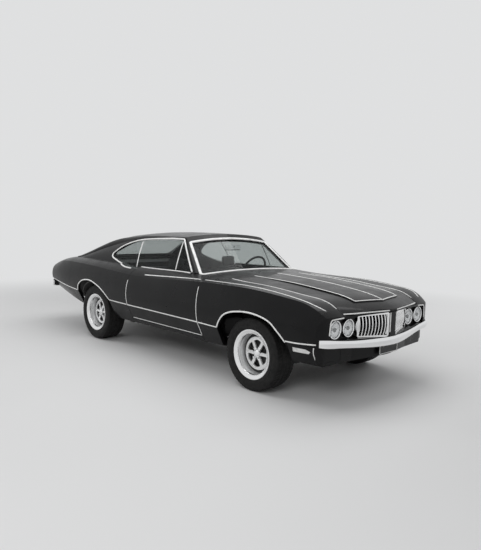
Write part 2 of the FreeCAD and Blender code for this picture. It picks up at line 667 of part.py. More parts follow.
RAIL = [(front - 240, 405, 470), (1960, 400, 425), (1300, 400, 425), (960, 560, 292), (-760, 560, 292),
        (-960, 505, 455),
        (-1500, 505, 455), (rear + 280, 470, 430)]
chassis = both_sides(rail(RAIL, 74, 80))
for x, y, z, tall in ((2260, 405, 470, 60), (1630, 400, 412, 70), (60, 560, 285, 46), (-820, 540, 285, 46),
                      (-1560, 505, 455, 60), (-2270, 470, 432, 56)):
    chassis = chassis.fuse(box(x - 45, x + 45, -y, y, z - tall / 2, z + tall / 2))
# body supports
for x in (700, -700):
    chassis = chassis.fuse(both_sides(box(x - 40, x + 40, 560, 690, 270, 338 - seat)))
# front wishbones, with a post to the spring seat
KING_Y = 700
for z, spread, inner_y in ((axle_z - 118, 150, 410), (axle_z + 112, 100, 430)):
    arm = plan_prism([[(front_axle - spread, inner_y - 30)], [(front_axle + spread, inner_y - 30)],
                      [(front_axle + spread, inner_y + 16)], [(front_axle + 26, KING_Y - 14)],
                      [(front_axle - 26, KING_Y - 14)], [(front_axle - spread, inner_y + 16)]], z - 13, z + 13)
    arm = arm.cut(plan_prism([[(front_axle - spread * 0.55, inner_y + 24)],
                              [(front_axle + spread * 0.55, inner_y + 24)],
                              [(front_axle, inner_y + 175)]], z - 20, z + 20))
    chassis = chassis.fuse(both_sides(arm))
    chassis = chassis.fuse(both_sides(Part.makeSphere(22, V(front_axle, KING_Y, z))))
chassis = chassis.fuse(both_sides(Part.makeCylinder(52, 190, V(front_axle, 478, axle_z - 110))))
chassis = chassis.fuse(both_sides(box(front_axle - 60, front_axle + 60, 400, 530, axle_z + 70, axle_z + 128)))
keep(chassis, "chassis_frame")

# ---- knuckles, wheels and tyres -----------------------------------------------------------------
SPOKES = 6
hub_face = size("rim_depth") / 2 - size("dish_depth")
drum = size("brake_radius")


def knuckle_shape():
    """Left front knuckle round its king pin at the origin: an upright and the stub axle."""
    upright = box(-24, 24, -16, 34, -86, 80)
    sockets = Part.makeCylinder(26, 38, V(0, 0, -100)).fuse(Part.makeCylinder(26, 35, V(0, 0, 58)))
    stub = Part.makeCylinder(size("hub_bore") - seat, wheel_y - KING_Y + hub_face + 1, V(0, 0, 0), V(0, 1, 0))
    plate_disc = Part.makeCylinder(drum, 44, V(0, 34, 0), V(0, 1, 0))
    return upright.fuse(sockets).fuse(stub).fuse(plate_disc)


knuckle = knuckle_shape()
for joint_z in (-118, 112):
    knuckle = knuckle.cut(Part.makeSphere(22 + seat, V(0, 0, joint_z)))
for side, label in ((1, "knuckle_left"), (-1, "knuckle_right")):
    piece = doc.addObject("Part::Feature", label)
    piece.Label = label
    piece.Shape = knuckle if side == 1 else mirrored(knuckle)
    piece.Placement = FreeCAD.Placement(V(front_axle, side * KING_Y, axle_z), FreeCAD.Rotation())
    piece.setExpression("Placement.Base.x", "sizes.front_axle_x")
    piece.setExpression("Placement.Base.z", "sizes.tyre_radius")
    nodes.append(piece)


def origin_item(body, role):
    return next(item for item in body.Origin.OriginFeatures if item.Role == role)


def new_sketch(body, name, role):
    sketch = body.newObject("Sketcher::SketchObject", name)
    sketch.AttachmentSupport = [(origin_item(body, role), "")]
    sketch.MapMode = "FlatFace"
    return sketch


def draw(sketch, steps):
    """Lines and arcs round a closed outline, as in outline()."""
    for index, step in enumerate(steps):
        start = V(*steps[index - 1][-1], 0)
        end = V(*step[-1], 0)
        if len(step) == 1:
            sketch.addGeometry(Part.LineSegment(start, end), False)
        else:
            sketch.addGeometry(Part.Arc(start, V(*step[0], 0), end), False)


rim, half_rim = size("rim_radius"), size("rim_depth") / 2
lip = rim - size("rim_lip")
ring_r = size("spoke_ring_radius")
back = hub_face - size("spoke_plate")
seat_r = rim - 15
cap_r = size("cap_radius")
RIM_PROFILE = [
    [(rim, half_rim)], [(rim, half_rim - 8)], [(seat_r, half_rim - 11)], [(seat_r, 8)], [(180, -8)], [(180, -62)],
    [(seat_r, -78)], [(seat_r, -half_rim + 11)], [(rim, -half_rim + 8)], [(rim, -half_rim)], [(rim - 8, -half_rim)],
    [(206, -half_rim + 14)], [(205, -86)], [(170, -66)], [(170, back - 14)], [(ring_r - 6, back)],
    [(size("hub_bore"), back)], [(size("hub_bore"), hub_face + 2)], [(0, hub_face + 2)], [(0, hub_face + 20)],
    [(cap_r / 2, hub_face + 18), (cap_r, hub_face + 6)], [(60, hub_face + 6)], [(66, hub_face)],
    [(ring_r - 4, hub_face)], [(ring_r + 1, hub_face - 4)], [(ring_r + 3, hub_face - 20)],
    [(lip - 9, hub_face - 20)],
    [(lip, half_rim - 17)], [(rim - 6, half_rim)],
]
tyre_r, half_tyre, half_tread = size("tyre_radius"), size("tyre_width") / 2, size("tread_width") / 2
bead = seat_r + seat
SIDEWALL = [(rim + 1, half_rim - 8 - seat), (rim + 5, half_rim + 1), (tyre_r - 68, half_tyre),
            (tyre_r - 22, half_tyre - 14), (tyre_r, half_tread)]


def tyre_shape():
    """A tyre round its own Y axis, from flat faces: each ring of corners is a profile point turned."""
    sides = int(size("tyre_sides"))
    inner = bead / math.cos(math.pi / sides)
    profile = [(inner, half_rim - 11 - seat)] + SIDEWALL
    profile += [(r, -w) for r, w in reversed(profile)]
    turns = [2 * math.pi * index / sides for index in range(sides)]
    rings = [[V(r * math.cos(turn), w, r * math.sin(turn)) for turn in turns] for r, w in profile]
    faces = []
    for index, ring in enumerate(rings):
        before = rings[index - 1]
        for corner in range(sides):
            loop = [before[corner - 1], before[corner], ring[corner], ring[corner - 1], before[corner - 1]]
            faces.append(Part.Face(Part.makePolygon(loop)))
    return Part.Solid(Part.Shell(faces))


def spun(label, steps, x_alias, side):
    """A PartDesign body turned about its own Y axis, placed at a wheel centre."""
    body = doc.addObject("PartDesign::Body", label)
    body.Label = label
    sketch = new_sketch(body, label + "_profile", "XY_Plane")
    draw(sketch, steps)
    turned = body.newObject("PartDesign::Revolution", label + "_turned")
    turned.Profile = sketch
    turned.ReferenceAxis = (sketch, ["V_Axis"])
    turned.Angle = 360
    doc.recompute()
    body.Placement = FreeCAD.Placement(V(size(x_alias), side * wheel_y, axle_z),
                                       FreeCAD.Rotation(V(0, 0, 1), 0 if side == 1 else 180))
    body.setExpression("Placement.Base.x", "sizes." + x_alias)
    body.setExpression("Placement.Base.y", ("" if side == 1 else "-") + "sizes.wheel_plane_y")
    body.setExpression("Placement.Base.z", "sizes.tyre_radius")
    return body


def window_outline():
    """One opening between two spokes: narrow at the hub, wide at the ring, with rounded corners."""
    inner, outer, half = size("window_inner"), size("window_radius"), size("spoke_width") / 2
    edge = []
    for radius in (inner, outer - 14):
        turn = math.radians(90 - 180 / SPOKES) + math.asin(half / radius)
        edge.append((radius * math.cos(turn), radius * math.sin(turn)))
    (x0, z0), (x1, z1) = edge
    x2, z2 = x1 - 11, z1 + 13
    return [[(-x0, z0)], [(0, z0 - 7), (x0, z0)], [(x1, z1)], [(x1 - 1, z1 + 9), (x2, z2)],
            [(0, outer), (-x2, z2)], [(-x1 + 1, z1 + 9), (-x1, z1)]]


tyre = tyre_shape()
for corner, (x_alias, side) in (("front_left", ("front_axle_x", 1)), ("front_right", ("front_axle_x", -1)),
                                ("rear_left", ("rear_axle_x", 1)), ("rear_right", ("rear_axle_x", -1))):
    wheel = spun("wheel_" + corner, RIM_PROFILE, x_alias, side)
    window = new_sketch(wheel, "wheel_" + corner + "_window", "XZ_Plane")
    draw(window, window_outline())
    pocket = wheel.newObject("PartDesign::Pocket", "wheel_" + corner + "_pocket")
    pocket.Profile = window
    pocket.Type = "ThroughAll"
    pocket.Midplane = True
    doc.recompute()
    pattern = wheel.newObject("PartDesign::PolarPattern", "wheel_" + corner + "_spokes")
    pattern.Originals = [pocket]
    pattern.Axis = (origin_item(wheel, "Y_Axis"), [""])
    pattern.Angle = 360
    pattern.Occurrences = SPOKES
    wheel.Tip = pattern
    doc.recompute()
    nodes.append(wheel)
    piece = keep(tyre, "tyre_" + corner)
    piece.Placement = FreeCAD.Placement(V(size(x_alias), side * wheel_y, axle_z), FreeCAD.Rotation())
    piece.setExpression("Placement.Base.x", "sizes." + x_alias)
    piece.setExpression("Placement.Base.y", ("" if side == 1 else "-") + "sizes.wheel_plane_y")
    piece.setExpression("Placement.Base.z", "sizes.tyre_radius")

# ---- rear axle, drive line, engine and exhaust --------------------------------------------------
axle_tube = size("axle_radius")
rear_hub = V(rear_axle_x, 0, axle_z)
axle = tube(rear_hub - V(0, wheel_y - 50, 0), rear_hub + V(0, wheel_y - 50, 0), axle_tube)
axle = axle.fuse(Part.makeSphere(148, rear_hub))
axle = axle.fuse(Part.makeCone(60, 90, 110, rear_hub + V(205, 0, 4), V(-1, 0, 0)))
stub_half = wheel_y + hub_face + 1
axle = axle.fuse(tube(rear_hub - V(0, stub_half, 0), rear_hub + V(0, stub_half, 0), size("hub_bore") - seat))
axle = axle.fuse(both_sides(Part.makeCylinder(drum, 62, rear_hub + V(0, wheel_y - 68, 0), V(0, 1, 0))))
post = Part.makeCylinder(48, 60, rear_hub + V(0, 505, 20)).common(box(-3000, 3000, 0, 1000, 0, 455 - 40 - seat))
axle = axle.fuse(both_sides(post))
keep(axle, "rear_axle")

engine_front, engine_rear, engine_half = 1800, 1130, 265
keep(box(engine_rear, engine_front, -engine_half, engine_half, 412 + 35 + seat, 880), "engine")
gear = Part.makeCone(150, 95, 330, V(engine_rear - seat, 0, 500), V(-1, 0, -0.12))
gear = gear.common(box(700, engine_rear - seat, -300, 300, 330, 700))
prop_start, prop_end = V(940, 0, 400), rear_hub + V(205 + seat, 0, 4)
gear = gear.fuse(tube(V(880, 0, 440), V(560, 0, 388), 78)).fuse(tube(V(600, 0, 392), prop_end, 38))
keep(gear.common(box(prop_end.x, 2000, -300, 300, 0, 900)), "gearbox")

PIPE_PATH = [(1290, 520), (1290, 300), (1180, 228), (-2180, 228), (-2330, 262), (-2540, 282)]
pipe_y, pipe_r = 300, 27
points = [V(x, pipe_y, z) for x, z in PIPE_PATH]
runs = None
for start, end in zip(points, points[1:]):
    run = tube(start, end, pipe_r).fuse(Part.makeSphere(pipe_r, start))
    runs = run if runs is None else runs.fuse(run)
bore = tube(points[-2], points[-1] + V(40, 0, 4), pipe_r - 4)
runs = runs.cut(bore.common(box(-2700, -2380, 0, 600, 0, 600)))
runs = runs.fuse(Part.makeCylinder(68, 420, V(-330, pipe_y, 228), V(-1, 0, 0)).cut(
    box(-800, 0, 0, 600, 228 + 32, 400)).cut(box(-800, 0, 0, 600, 0, 228 - 48)))
runs = runs.fuse(box(1250, 1330, engine_half + seat, pipe_y, 492, 548))
runs = runs.fuse(box(-2280, -2266, pipe_y - 8, pipe_y + 8, 240, 432 - 28 - seat))
runs = runs.fuse(box(52, 66, pipe_y - 8, pipe_y + 8, 230, 285 - 23 - seat))
exhaust = both_sides(runs)
keep(exhaust, "exhaust")
tank = box(-2205, -1640, -410, 410, 300, 480)
tank = tank.makeFillet(26, tank.Edges)
tank = tank.fuse(both_sides(box(-1960, -1900, 380, 447.5, 415, 445)))
keep(tank, "fuel_tank")
keep(box(2238, 2282, -310, 310, 500 + seat, 830), "radiator")

# ---- floor --------------------------------------------------------------------------------------
bulkhead = size("bulkhead_x")
riser_x = -560
floor = box(bulkhead, firewall - seat, seat - cabin, cabin - seat, 338, 354)
floor = floor.cut(box(riser_x - 1200, riser_x, -1000, 1000, 0, 400))
floor = floor.cut(box(riser_x, firewall, -132, 132, 300, 400))
tunnel = box(riser_x, firewall - seat, -150, 150, 338, 462).cut(box(riser_x - 1, firewall, -132, 132, 300, 444))
dome = box(560, firewall - seat, -190, 190, 400, 640).cut(box(540, firewall, -172, 172, 380, 622))
tunnel = tunnel.cut(box(578, firewall, -172, 172, 300, 622)).fuse(dome.fuse(box(560, 578, -190, 190, 444, 640)))
tunnel = tunnel.cut(box(540, 640, -132, 132, 300, 540))
tunnel = tunnel.fuse(both_sides(box(560, firewall - seat, 150, 190, 338, 420)))
floor = floor.cut(box(560, firewall, -172, 172, 300, 400)).fuse(tunnel)
floor = floor.fuse(box(riser_x - 16, riser_x, seat - cabin, cabin - seat, 338, 505 - seat))
floor = floor.cut(box(riser_x - 17, riser_x + 1, -132, 132, 300, 444))
keep(floor, "floor_pan")

deck_low, deck_high, plate_t = 505, 520, 15
deck = box(-2150, riser_x, -900, 900, deck_low, deck_high)
deck = deck.fuse(box(HOLLOW_REAR, -2150 + plate_t, -700, 700, 585, 600))
deck = deck.fuse(box(-2150, -2150 + plate_t, -700, 700, deck_low, 600))
deck = deck.fuse(box(bulkhead - plate_t, bulkhead, -700, 700, deck_low, 968))
deck = deck.fuse(box(-1640, bulkhead, -690, 690, 953, 968))
house_r, house_wall, house_y = size("tyre_radius") + 45, 14, 552


def house_cylinder(radius, y0):
    return Part.makeCylinder(radius, 400, V(rear_axle_x, y0, axle_z), V(0, 1, 0))


rear_room = lower_seat.common(hollow_plan).common(box(HOLLOW_REAR + seat, 0, -1000, 1000, 0, 1200))
rear_room = rear_room.cut(both_sides(box(-600, 0, cabin - seat, 1000, 0, 600)))
house = house_cylinder(house_r + house_wall, house_y).cut(house_cylinder(house_r, house_y + house_wall))
house = house.common(box(rear, riser_x - 20, 0, 1000, deck_low, 1000)).common(rear_room)
keep(both_sides(house), "wheelhouses")
deck = deck.cut(both_sides(house_cylinder(house_r + house_wall + seat, house_y - seat)))
deck = deck.common(rear_room)
deck = max(deck.Solids, key=lambda solid: solid.Volume)
keep(deck, "trunk_floor")

# ---- cabin --------------------------------------------------------------------------------------
# the top of the dashboard stays under the windshield's lower corners
DASH = [[(700 - seat, 964)], [(700 - seat, 740)], [(610, 748)], [(548, 850)], [(566, 946), (640, 964)]]
dash = side_prism(DASH, -728, 728)
keep(dash, "dashboard")
column_dir = V(-0.9, 0, 0.42).normalize()
wheel_hub = V(345, 370, 962)
steering = Part.makeTorus(188, 13, wheel_hub, column_dir)
steering = steering.fuse(Part.makeCylinder(46, 30, wheel_hub - V(column_dir).multiply(38), column_dir))
side_arm = tube(wheel_hub - V(column_dir).multiply(16) + V(0, -182, 0), wheel_hub - V(column_dir).multiply(16) +
                V(0, 182, 0), 11)
steering = steering.fuse(side_arm)
column = tube(wheel_hub - V(column_dir).multiply(330), wheel_hub - V(column_dir).multiply(20), 27)
column = column.cut(side_prism([[(x - 0.4, z) for x, z in step] for step in DASH], -728, 728))
column = column.common(box(0, 640, 0, 800, 800, 1300))
column = max(column.Solids, key=lambda solid: solid.Volume)
keep(steering.fuse(column), "steering_wheel")
SEAT_SIDE = [[(400, 354 + seat)], [(430, 470)], [(440, 540), (400, 566)], [(60, 528)], [(-108, 930)],
             [(-140, 968), (-186, 950)], [(-228, 700), (-110, 354 + seat)]]
REST = [[(-136, 950)], [(-150, 1096)], [(-180, 1118), (-214, 1094)], [(-206, 950)]]
one_seat = side_prism(SEAT_SIDE, 200, 640).fuse(side_prism(REST, 300, 540))
keep(both_sides(one_seat), "front_seats")
bench_low, bench_back = deck_high + seat, bulkhead + seat
BENCH = [[(riser_x + 30, 366)], [(riser_x + 60, 590)], [(riser_x + 20, 640), (riser_x - 60, 640)], [(-930, 590)],
         [(-1010, 920)], [(-1060, 948), (bench_back, 930)], [(bench_back, bench_low)], [(riser_x + seat, bench_low)],
         [(riser_x + seat, 366)]]
bench = side_prism(BENCH, -545, 545)
bench = bench.cut(box(riser_x, riser_x + 120, -150 - seat, 150 + seat, 0, 462 + seat))
keep(bench, "rear_seat")
mirror = box(352, 376, -118, 118, 1216, 1272)
mirror = mirror.makeFillet(10, mirror.Edges)
stalk = tube(V(366, 0, 1250), V(460, 0, 1320), 9).common(shield_cut(inset + pane + seat))
keep(mirror.fuse(stalk), "inner_mirror")

os.makedirs("parts", exist_ok=True)
doc.recompute()
for piece in nodes:
    if "Invalid" in piece.State or "Error" in piece.State or not piece.Shape.isValid():
        raise RuntimeError(piece.Label)
    piece.Shape.exportStep(f"parts/{piece.Label}.step")
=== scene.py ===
import math

import bmesh
import bpy
import numpy as np
from mathutils import Matrix, Vector
from mathutils.bvhtree import BVHTree


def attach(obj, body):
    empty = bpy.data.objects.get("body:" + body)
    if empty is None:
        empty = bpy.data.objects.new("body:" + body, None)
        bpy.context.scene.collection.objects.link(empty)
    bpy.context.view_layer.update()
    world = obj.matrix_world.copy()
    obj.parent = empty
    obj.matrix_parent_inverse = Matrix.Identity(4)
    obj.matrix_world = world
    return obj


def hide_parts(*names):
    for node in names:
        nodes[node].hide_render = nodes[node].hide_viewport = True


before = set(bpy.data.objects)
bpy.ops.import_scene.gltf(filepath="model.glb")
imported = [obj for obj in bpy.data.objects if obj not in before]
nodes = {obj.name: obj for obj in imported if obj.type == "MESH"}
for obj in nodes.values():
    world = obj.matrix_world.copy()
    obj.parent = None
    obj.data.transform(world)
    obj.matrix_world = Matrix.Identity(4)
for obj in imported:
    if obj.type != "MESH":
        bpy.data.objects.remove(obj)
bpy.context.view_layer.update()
tau = 2 * math.pi
print("frame loaded:", len(nodes), "nodes")


# Sets a node's inputs by their names, with underscores for spaces, and its other properties.
def setUp(node, values):
    for key, value in values.items():
        socket = node.inputs.get(key.replace("_", " "))
        if socket is None:
            setattr(node, key, value)
        else:
            socket.default_value = (*value, 1) if isinstance(value, tuple) else value


def addNode(tree, kind, **values):
    node = tree.nodes.new(kind)
    setUp(node, values)
    return node


# A Principled material with its tree, its shader and Object coordinates for its patterns.
def newMaterial(name, **values):
    mat = bpy.data.materials.new(name)
    mat.use_nodes = True
    tree = mat.node_tree
    shader = tree.nodes["Principled BSDF"]
    setUp(shader, values)
    return mat, tree, shader, addNode(tree, "ShaderNodeTexCoord").outputs["Object"]


def noise(tree, coords, scale, detail):
    node = addNode(tree, "ShaderNodeTexNoise", Scale=scale, Detail=detail, Roughness=0.55)
    tree.links.new(coords, node.inputs["Vector"])
    return node.outputs["Fac"]


# A colour ramp over the source; stops are (place, grey or colour).
def ramp(tree, source, stops):
    node = addNode(tree, "ShaderNodeValToRGB")
    points = node.color_ramp.elements
    while len(points) < len(stops):
        points.new(0.5)
    for point, (place, colour) in zip(points, stops):
        point.position = place
        point.color = (*colour, 1) if isinstance(colour, tuple) else (colour, colour, colour, 1)
    tree.links.new(source, node.inputs["Fac"])
    return node.outputs["Color"]


# A shader's input that wanders between two or more stops with noise of this scale and detail.
def vary(shader, socket, coords, scale, detail, *stops):
    tree = shader.id_data
    tree.links.new(ramp(tree, noise(tree, coords, scale, detail), stops), shader.inputs[socket])


def bumpInto(tree, shader, height, strength, distance, under=None):
    node = addNode(tree, "ShaderNodeBump", Strength=strength, Distance=distance)
    tree.links.new(height, node.inputs["Height"])
    if under:
        tree.links.new(under, node.inputs["Normal"])
    tree.links.new(node.outputs["Normal"], shader.inputs["Normal"])
    return node.outputs["Normal"]


# A normal that rounds sharp edges by this radius, so that shut lines catch light.
def softEdges(tree, radius):
    return addNode(tree, "ShaderNodeBevel", samples=6, Radius=radius).outputs["Normal"]


# The tree's output as a mix of two shaders by this amount.
def mixInto(tree, amount, one, two, output="Material Output"):
    mixed = addNode(tree, "ShaderNodeMixShader")
    for source, socket in zip((amount, one.outputs[0], two.outputs[0]), mixed.inputs):
        tree.links.new(source, socket)
    tree.links.new(mixed.outputs[0], tree.nodes[output].inputs["Surface"])


# See-through where the surface is faced, and the shader itself towards a glancing angle.
def seeThrough(tree, shader, tint, *stops):
    clear = addNode(tree, "ShaderNodeBsdfTransparent", Color=tint)
    facing = addNode(tree, "ShaderNodeLayerWeight", Blend=0.5)
    mixInto(tree, ramp(tree, facing.outputs["Facing"], stops), clear, shader)


paintLook = {"colour": (0.0035, 0.0035, 0.0038), "peel": 0.018, "edge": 0.0022}


# Black enamel under a clear coat: fine orange peel, and a thin, uneven film of dust in the roughness.
def bodyPaint():
    mat, tree, shader, coords = newMaterial("blackEnamel", Roughness=0.34, Coat_Weight=0.24,
                                            Coat_Roughness=0.04,
                                            Coat_IOR=1.45, Specular_IOR_Level=0.09)
    vary(shader, "Base Color", coords, 3.1, 6, (0.42, paintLook["colour"]), (0.75, (0.006, 0.006, 0.0064)))
    vary(shader, "Roughness", coords, 7.0, 8, (0.35, 0.26), (0.7, 0.40))
    peel = bumpInto(tree, shader, noise(tree, coords, 420, 2), paintLook["peel"], 0.0006,
                    softEdges(tree, paintLook["edge"]))
    tree.links.new(peel, shader.inputs["Coat Normal"])
    return mat


# Polished plate with faint smudges in its roughness and fine wiping marks in its bump.
def chromePlate(name="chromePlate", tint=(0.90, 0.905, 0.91), low=0.035, high=0.13):
    mat, tree, shader, coords = newMaterial(name, Base_Color=tint, Metallic=1.0)
    vary(shader, "Roughness", coords, 18, 6, (0.38, low), (0.72, high))
    bumpInto(tree, shader, noise(tree, coords, 900, 3), 0.02, 0.0003, softEdges(tree, 0.0012))
    return mat


# Black rubber, a little browner and duller where road dust has dried on it.
def rubberTyre():
    mat, tree, shader, coords = newMaterial("tyreRubber", Specular_IOR_Level=0.2)
    vary(shader, "Base Color", coords, 22, 8, (0.36, (0.007, 0.007, 0.007)), (0.72, (0.018, 0.0175, 0.017)))
    vary(shader, "Roughness", coords, 60, 4, (0.3, 0.50), (0.7, 0.74))
    bumpInto(tree, shader, noise(tree, coords, 1400, 4), 0.18, 0.0005)
    return mat


# Silver wheel paint with a fine metallic sparkle under a thin coat, and darker brake dust in random patches.
def silverRim():
    mat, tree, shader, coords = newMaterial("silverWheel", Metallic=0.6, Roughness=0.32, Coat_Weight=0.35,
                                            Coat_Roughness=0.08)
    vary(shader, "Base Color", coords, 11, 8, (0.35, (0.86, 0.865, 0.87)), (0.8, (0.68, 0.68, 0.675)))
    bumpInto(tree, shader, noise(tree, coords, 2200, 2), 0.10, 0.0002, softEdges(tree, 0.0018))
    return mat


# Clear thin glass: see-through when faced, a mirror at a glancing angle, with faint wiping marks.
def windowGlass():
    mat, tree, shader, coords = newMaterial("windowGlass", Base_Color=(0.012, 0.015, 0.015),
                                            Specular_IOR_Level=0.8, Coat_Weight=1.0, Coat_Roughness=0.01)
    vary(shader, "Roughness", coords, 5, 6, (0.4, 0.01), (0.9, 0.05))
    seeThrough(tree, shader, (0.86, 0.88, 0.875), (0.0, 0.07), (0.55, 0.10), (0.82, 0.30), (1.0, 1.0))
    return mat


# Moulded lamp glass: half see-through, milky from its ribs, with a mirror's shine when glancing.
def lensGlass():
    mat, tree, shader, coords = newMaterial("lampGlass", Specular_IOR_Level=0.7, Coat_Weight=1.0,
                                            Coat_Roughness=0.02)
    vary(shader, "Base Color", coords, 18, 4, (0.3, (0.74, 0.76, 0.77)), (0.7, (0.84, 0.86, 0.86)))
    vary(shader, "Roughness", coords, 50, 3, (0.3, 0.06), (0.7, 0.12))
    wave = addNode(tree, "ShaderNodeTexWave", bands_direction="Y", Scale=42)
    tree.links.new(coords, wave.inputs["Vector"])
    bumpInto(tree, shader, wave.outputs["Fac"], 0.35, 0.0015)
    seeThrough(tree, shader, (1, 1, 1), (0.0, 0.16), (0.6, 0.26), (1.0, 1.0))
    return mat


# White enamel, chalky where it has weathered; on the lines along the arch lips, creases and shut lines its
# white is painted highlight.
def trimAndHighlightEnamel():
    mat, tree, shader, coords = newMaterial("whiteTrimAndPaintedHighlight", Specular_IOR_Level=0.5, Coat_Weight=0.3,
                                            Coat_Roughness=0.15)
    vary(shader, "Base Color", coords, 26, 8, (0.30, (0.70, 0.70, 0.69)), (0.55, (0.86, 0.86, 0.85)))
    vary(shader, "Roughness", coords, 60, 4, (0.3, 0.30), (0.7, 0.45))
    bumpInto(tree, shader, noise(tree, coords, 800, 3), 0.05, 0.0003)
    return mat


# Painted, cast or bare metal: two tones in patches, roughness that follows them, and a fine grain.
def plainMetal(name, light, dark, metallic, low, high, scale=14.0, bump=0.08):
    mat, tree, shader, coords = newMaterial(name, Metallic=metallic)
    vary(shader, "Base Color", coords, scale, 8, (0.35, dark), (0.7, light))
    vary(shader, "Roughness", coords, scale * 2.3, 6, (0.3, low), (0.7, high))
    bumpInto(tree, shader, noise(tree, coords, scale * 40, 5), bump, 0.0008)
    return mat


# Vinyl or moulded plastic: a cell grain pressed into it, two tones in random patches, with a soft sheen.
def grainedVinyl(name, light, dark, rough=(0.42, 0.58), scale=520):
    mat, tree, shader, coords = newMaterial(name, Specular_IOR_Level=0.4)
    cells = addNode(tree, "ShaderNodeTexVoronoi", feature="DISTANCE_TO_EDGE", Scale=scale)
    tree.links.new(coords, cells.inputs["Vector"])
    vary(shader, "Base Color", coords, 9, 6, (0.3, dark), (0.75, light))
    vary(shader, "Roughness", coords, 30, 4, (0.3, rough[0]), (0.7, rough[1]))
    bumpInto(tree, shader, ramp(tree, cells.outputs["Distance"], [(0.0, 0.0), (0.12, 1.0)]), 0.22, 0.0006)
    return mat


# Moulded lens: coloured right through, with faint ribs pressed in its back.
def lensPlastic(name, colour, rough=0.08, transmission=0.35):
    mat, tree, shader, coords = newMaterial(name, Roughness=rough, Transmission_Weight=transmission,
                                            IOR=1.49, Coat_Weight=0.6)
    vary(shader, "Base Color", coords, 30, 3, (0.3, colour), (0.8, tuple(c * 0.7 for c in colour)))
    wave = addNode(tree, "ShaderNodeTexWave", Scale=60)
    tree.links.new(coords, wave.inputs["Vector"])
    bumpInto(tree, shader, wave.outputs["Fac"], 0.25, 0.0008)
    return mat


paint = bodyPaint()
chrome = chromePlate()
brightTrim = chromePlate("brightTrim", (0.92, 0.92, 0.92), 0.10, 0.20)
satinBlack = plainMetal("satinBlack", (0.020, 0.020, 0.020), (0.008, 0.008, 0.008), 0.0, 0.42, 0.6)
tyreRubber = rubberTyre()
silver = silverRim()
glass = windowGlass()
# White enamel for the trims and dial marks, and for the lines that are painted highlights along creases and
# shut lines.
whiteTrimAndHighlight = trimAndHighlightEnamel()
lampGlass = lensGlass()
mirrorBowl = chromePlate("mirrorBowl", (0.90, 0.91, 0.92), 0.06, 0.16)
chassisPaint = plainMetal("chassisPaint", (0.030, 0.029, 0.028), (0.012, 0.012, 0.012), 0.0, 0.5, 0.75)
castIron = plainMetal("castIron", (0.16, 0.045, 0.012), (0.10, 0.03, 0.01), 0.2, 0.45, 0.7, 20, 0.3)
bareSteel = plainMetal("bareSteel", (0.34, 0.33, 0.32), (0.20, 0.19, 0.18), 1.0, 0.32, 0.5, 16, 0.1)
dashVinyl = grainedVinyl("dashVinyl", (0.020, 0.020, 0.021), (0.011, 0.011, 0.012))
seatVinyl = grainedVinyl("seatVinyl", (0.030, 0.030, 0.032), (0.017, 0.017, 0.018), (0.36, 0.5), 640)
redLens = lensPlastic("redLens", (0.42, 0.012, 0.010))
clearLens = lensPlastic("clearLens", (0.90, 0.90, 0.89), 0.10, 0.10)

finishes = {
    paint: ["body_shell", "front_fender_left", "front_fender_right", "nose_panel", "front_valance", "hood",
            "trunk_lid", "door_left", "door_right"],
    glass: ["windshield", "back_glass", "door_glass_left", "door_glass_right", "quarter_glass"],
    chrome: ["front_bumper", "rear_bumper", "inner_mirror"],
    brightTrim: ["grille"],
    clearLens: ["head_lamps", "side_markers"],
    redLens: ["tail_lamps"],
    satinBlack: ["front_plate"],
    bareSteel: ["exhaust", "fuel_tank"],
    chassisPaint: ["chassis_frame", "floor_pan", "trunk_floor", "wheelhouses", "rear_axle", "radiator",
                   "knuckle_left", "knuckle_right"],
    castIron: ["engine", "gearbox"],
    silver: ["wheel_front_left", "wheel_front_right", "wheel_rear_left", "wheel_rear_right"],
    tyreRubber: ["tyre_front_left", "tyre_front_right", "tyre_rear_left", "tyre_rear_right"],
    dashVinyl: ["dashboard", "steering_wheel"],
    seatVinyl: ["front_seats", "rear_seat"],
}
for material, names in finishes.items():
    for name in names:
        for holder in nodes[name].material_slots:
            holder.material = material
print("materials set")


# One object from arrays of points and faces, merged, facing outwards, riding on its body.
def finishMesh(name, verts, faces, material, body, smooth=True):
    mesh = bpy.data.meshes.new(name)
    mesh.from_pydata(verts, [], faces)
    work = bmesh.new()
    work.from_mesh(mesh)
    bmesh.ops.remove_doubles(work, verts=work.verts, dist=1e-6)
    bmesh.ops.recalc_face_normals(work, faces=work.faces)
    work.to_mesh(mesh)
    work.free()
    mesh.materials.append(material)
    mesh.polygons.foreach_set("use_smooth", np.full(len(mesh.polygons), smooth))
    obj = bpy.data.objects.new(name, mesh)
    bpy.context.collection.objects.link(obj)
    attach(obj, body)
    return obj


# Quads between neighbouring rows and columns of a grid of points.
def gridFaces(rows, columns, loopRows=False, loopColumns=False, start=0):
    r = np.arange(rows if loopRows else rows - 1)
    c = np.arange(columns if loopColumns else columns - 1)
    r, c = np.meshgrid(r, c, indexing="ij")
    r1, c1 = (r + 1) % rows, (c + 1) % columns
    quads = np.stack([r * columns + c, r1 * columns + c, r1 * columns + c1, r * columns + c1], axis=-1)
    return (quads.reshape(-1, 4) + start).tolist()


# Grids of points in one mesh; each block is (points, loopRows, loopColumns, caps), and caps close its ends.
def many(name, blocks, material, body="chassis", smooth=True):
    verts, faces, start = [], [], 0
    for points, loopRows, loopColumns, caps in blocks:
        rows, columns = points.shape[:2]
        faces += gridFaces(rows, columns, loopRows, loopColumns, start)
        if caps:
            faces += [list(range(start, start + columns)),
                      list(range(start + (rows - 1) * columns, start + rows * columns))]
        verts.append(points.reshape(-1, 3))
        start += rows * columns
    return finishMesh(name, np.concatenate(verts).tolist(), faces, material, body, smooth)


def surface(name, points, material, body="chassis", loopRows=False, loopColumns=False, caps=False,
            smooth=True):
    return many(name, [(points, loopRows, loopColumns, caps)], material, body, smooth)


# Blocks for many(): a box or capped pipe, a turned knob, a turned ring and an open sheet.
def boxed(grid):
    return grid, False, True, True


def lathed(grid):
    return grid, True, False, False


def ringed(grid):
    return grid, True, True, False


def opened(grid):
    return grid, False, False, False


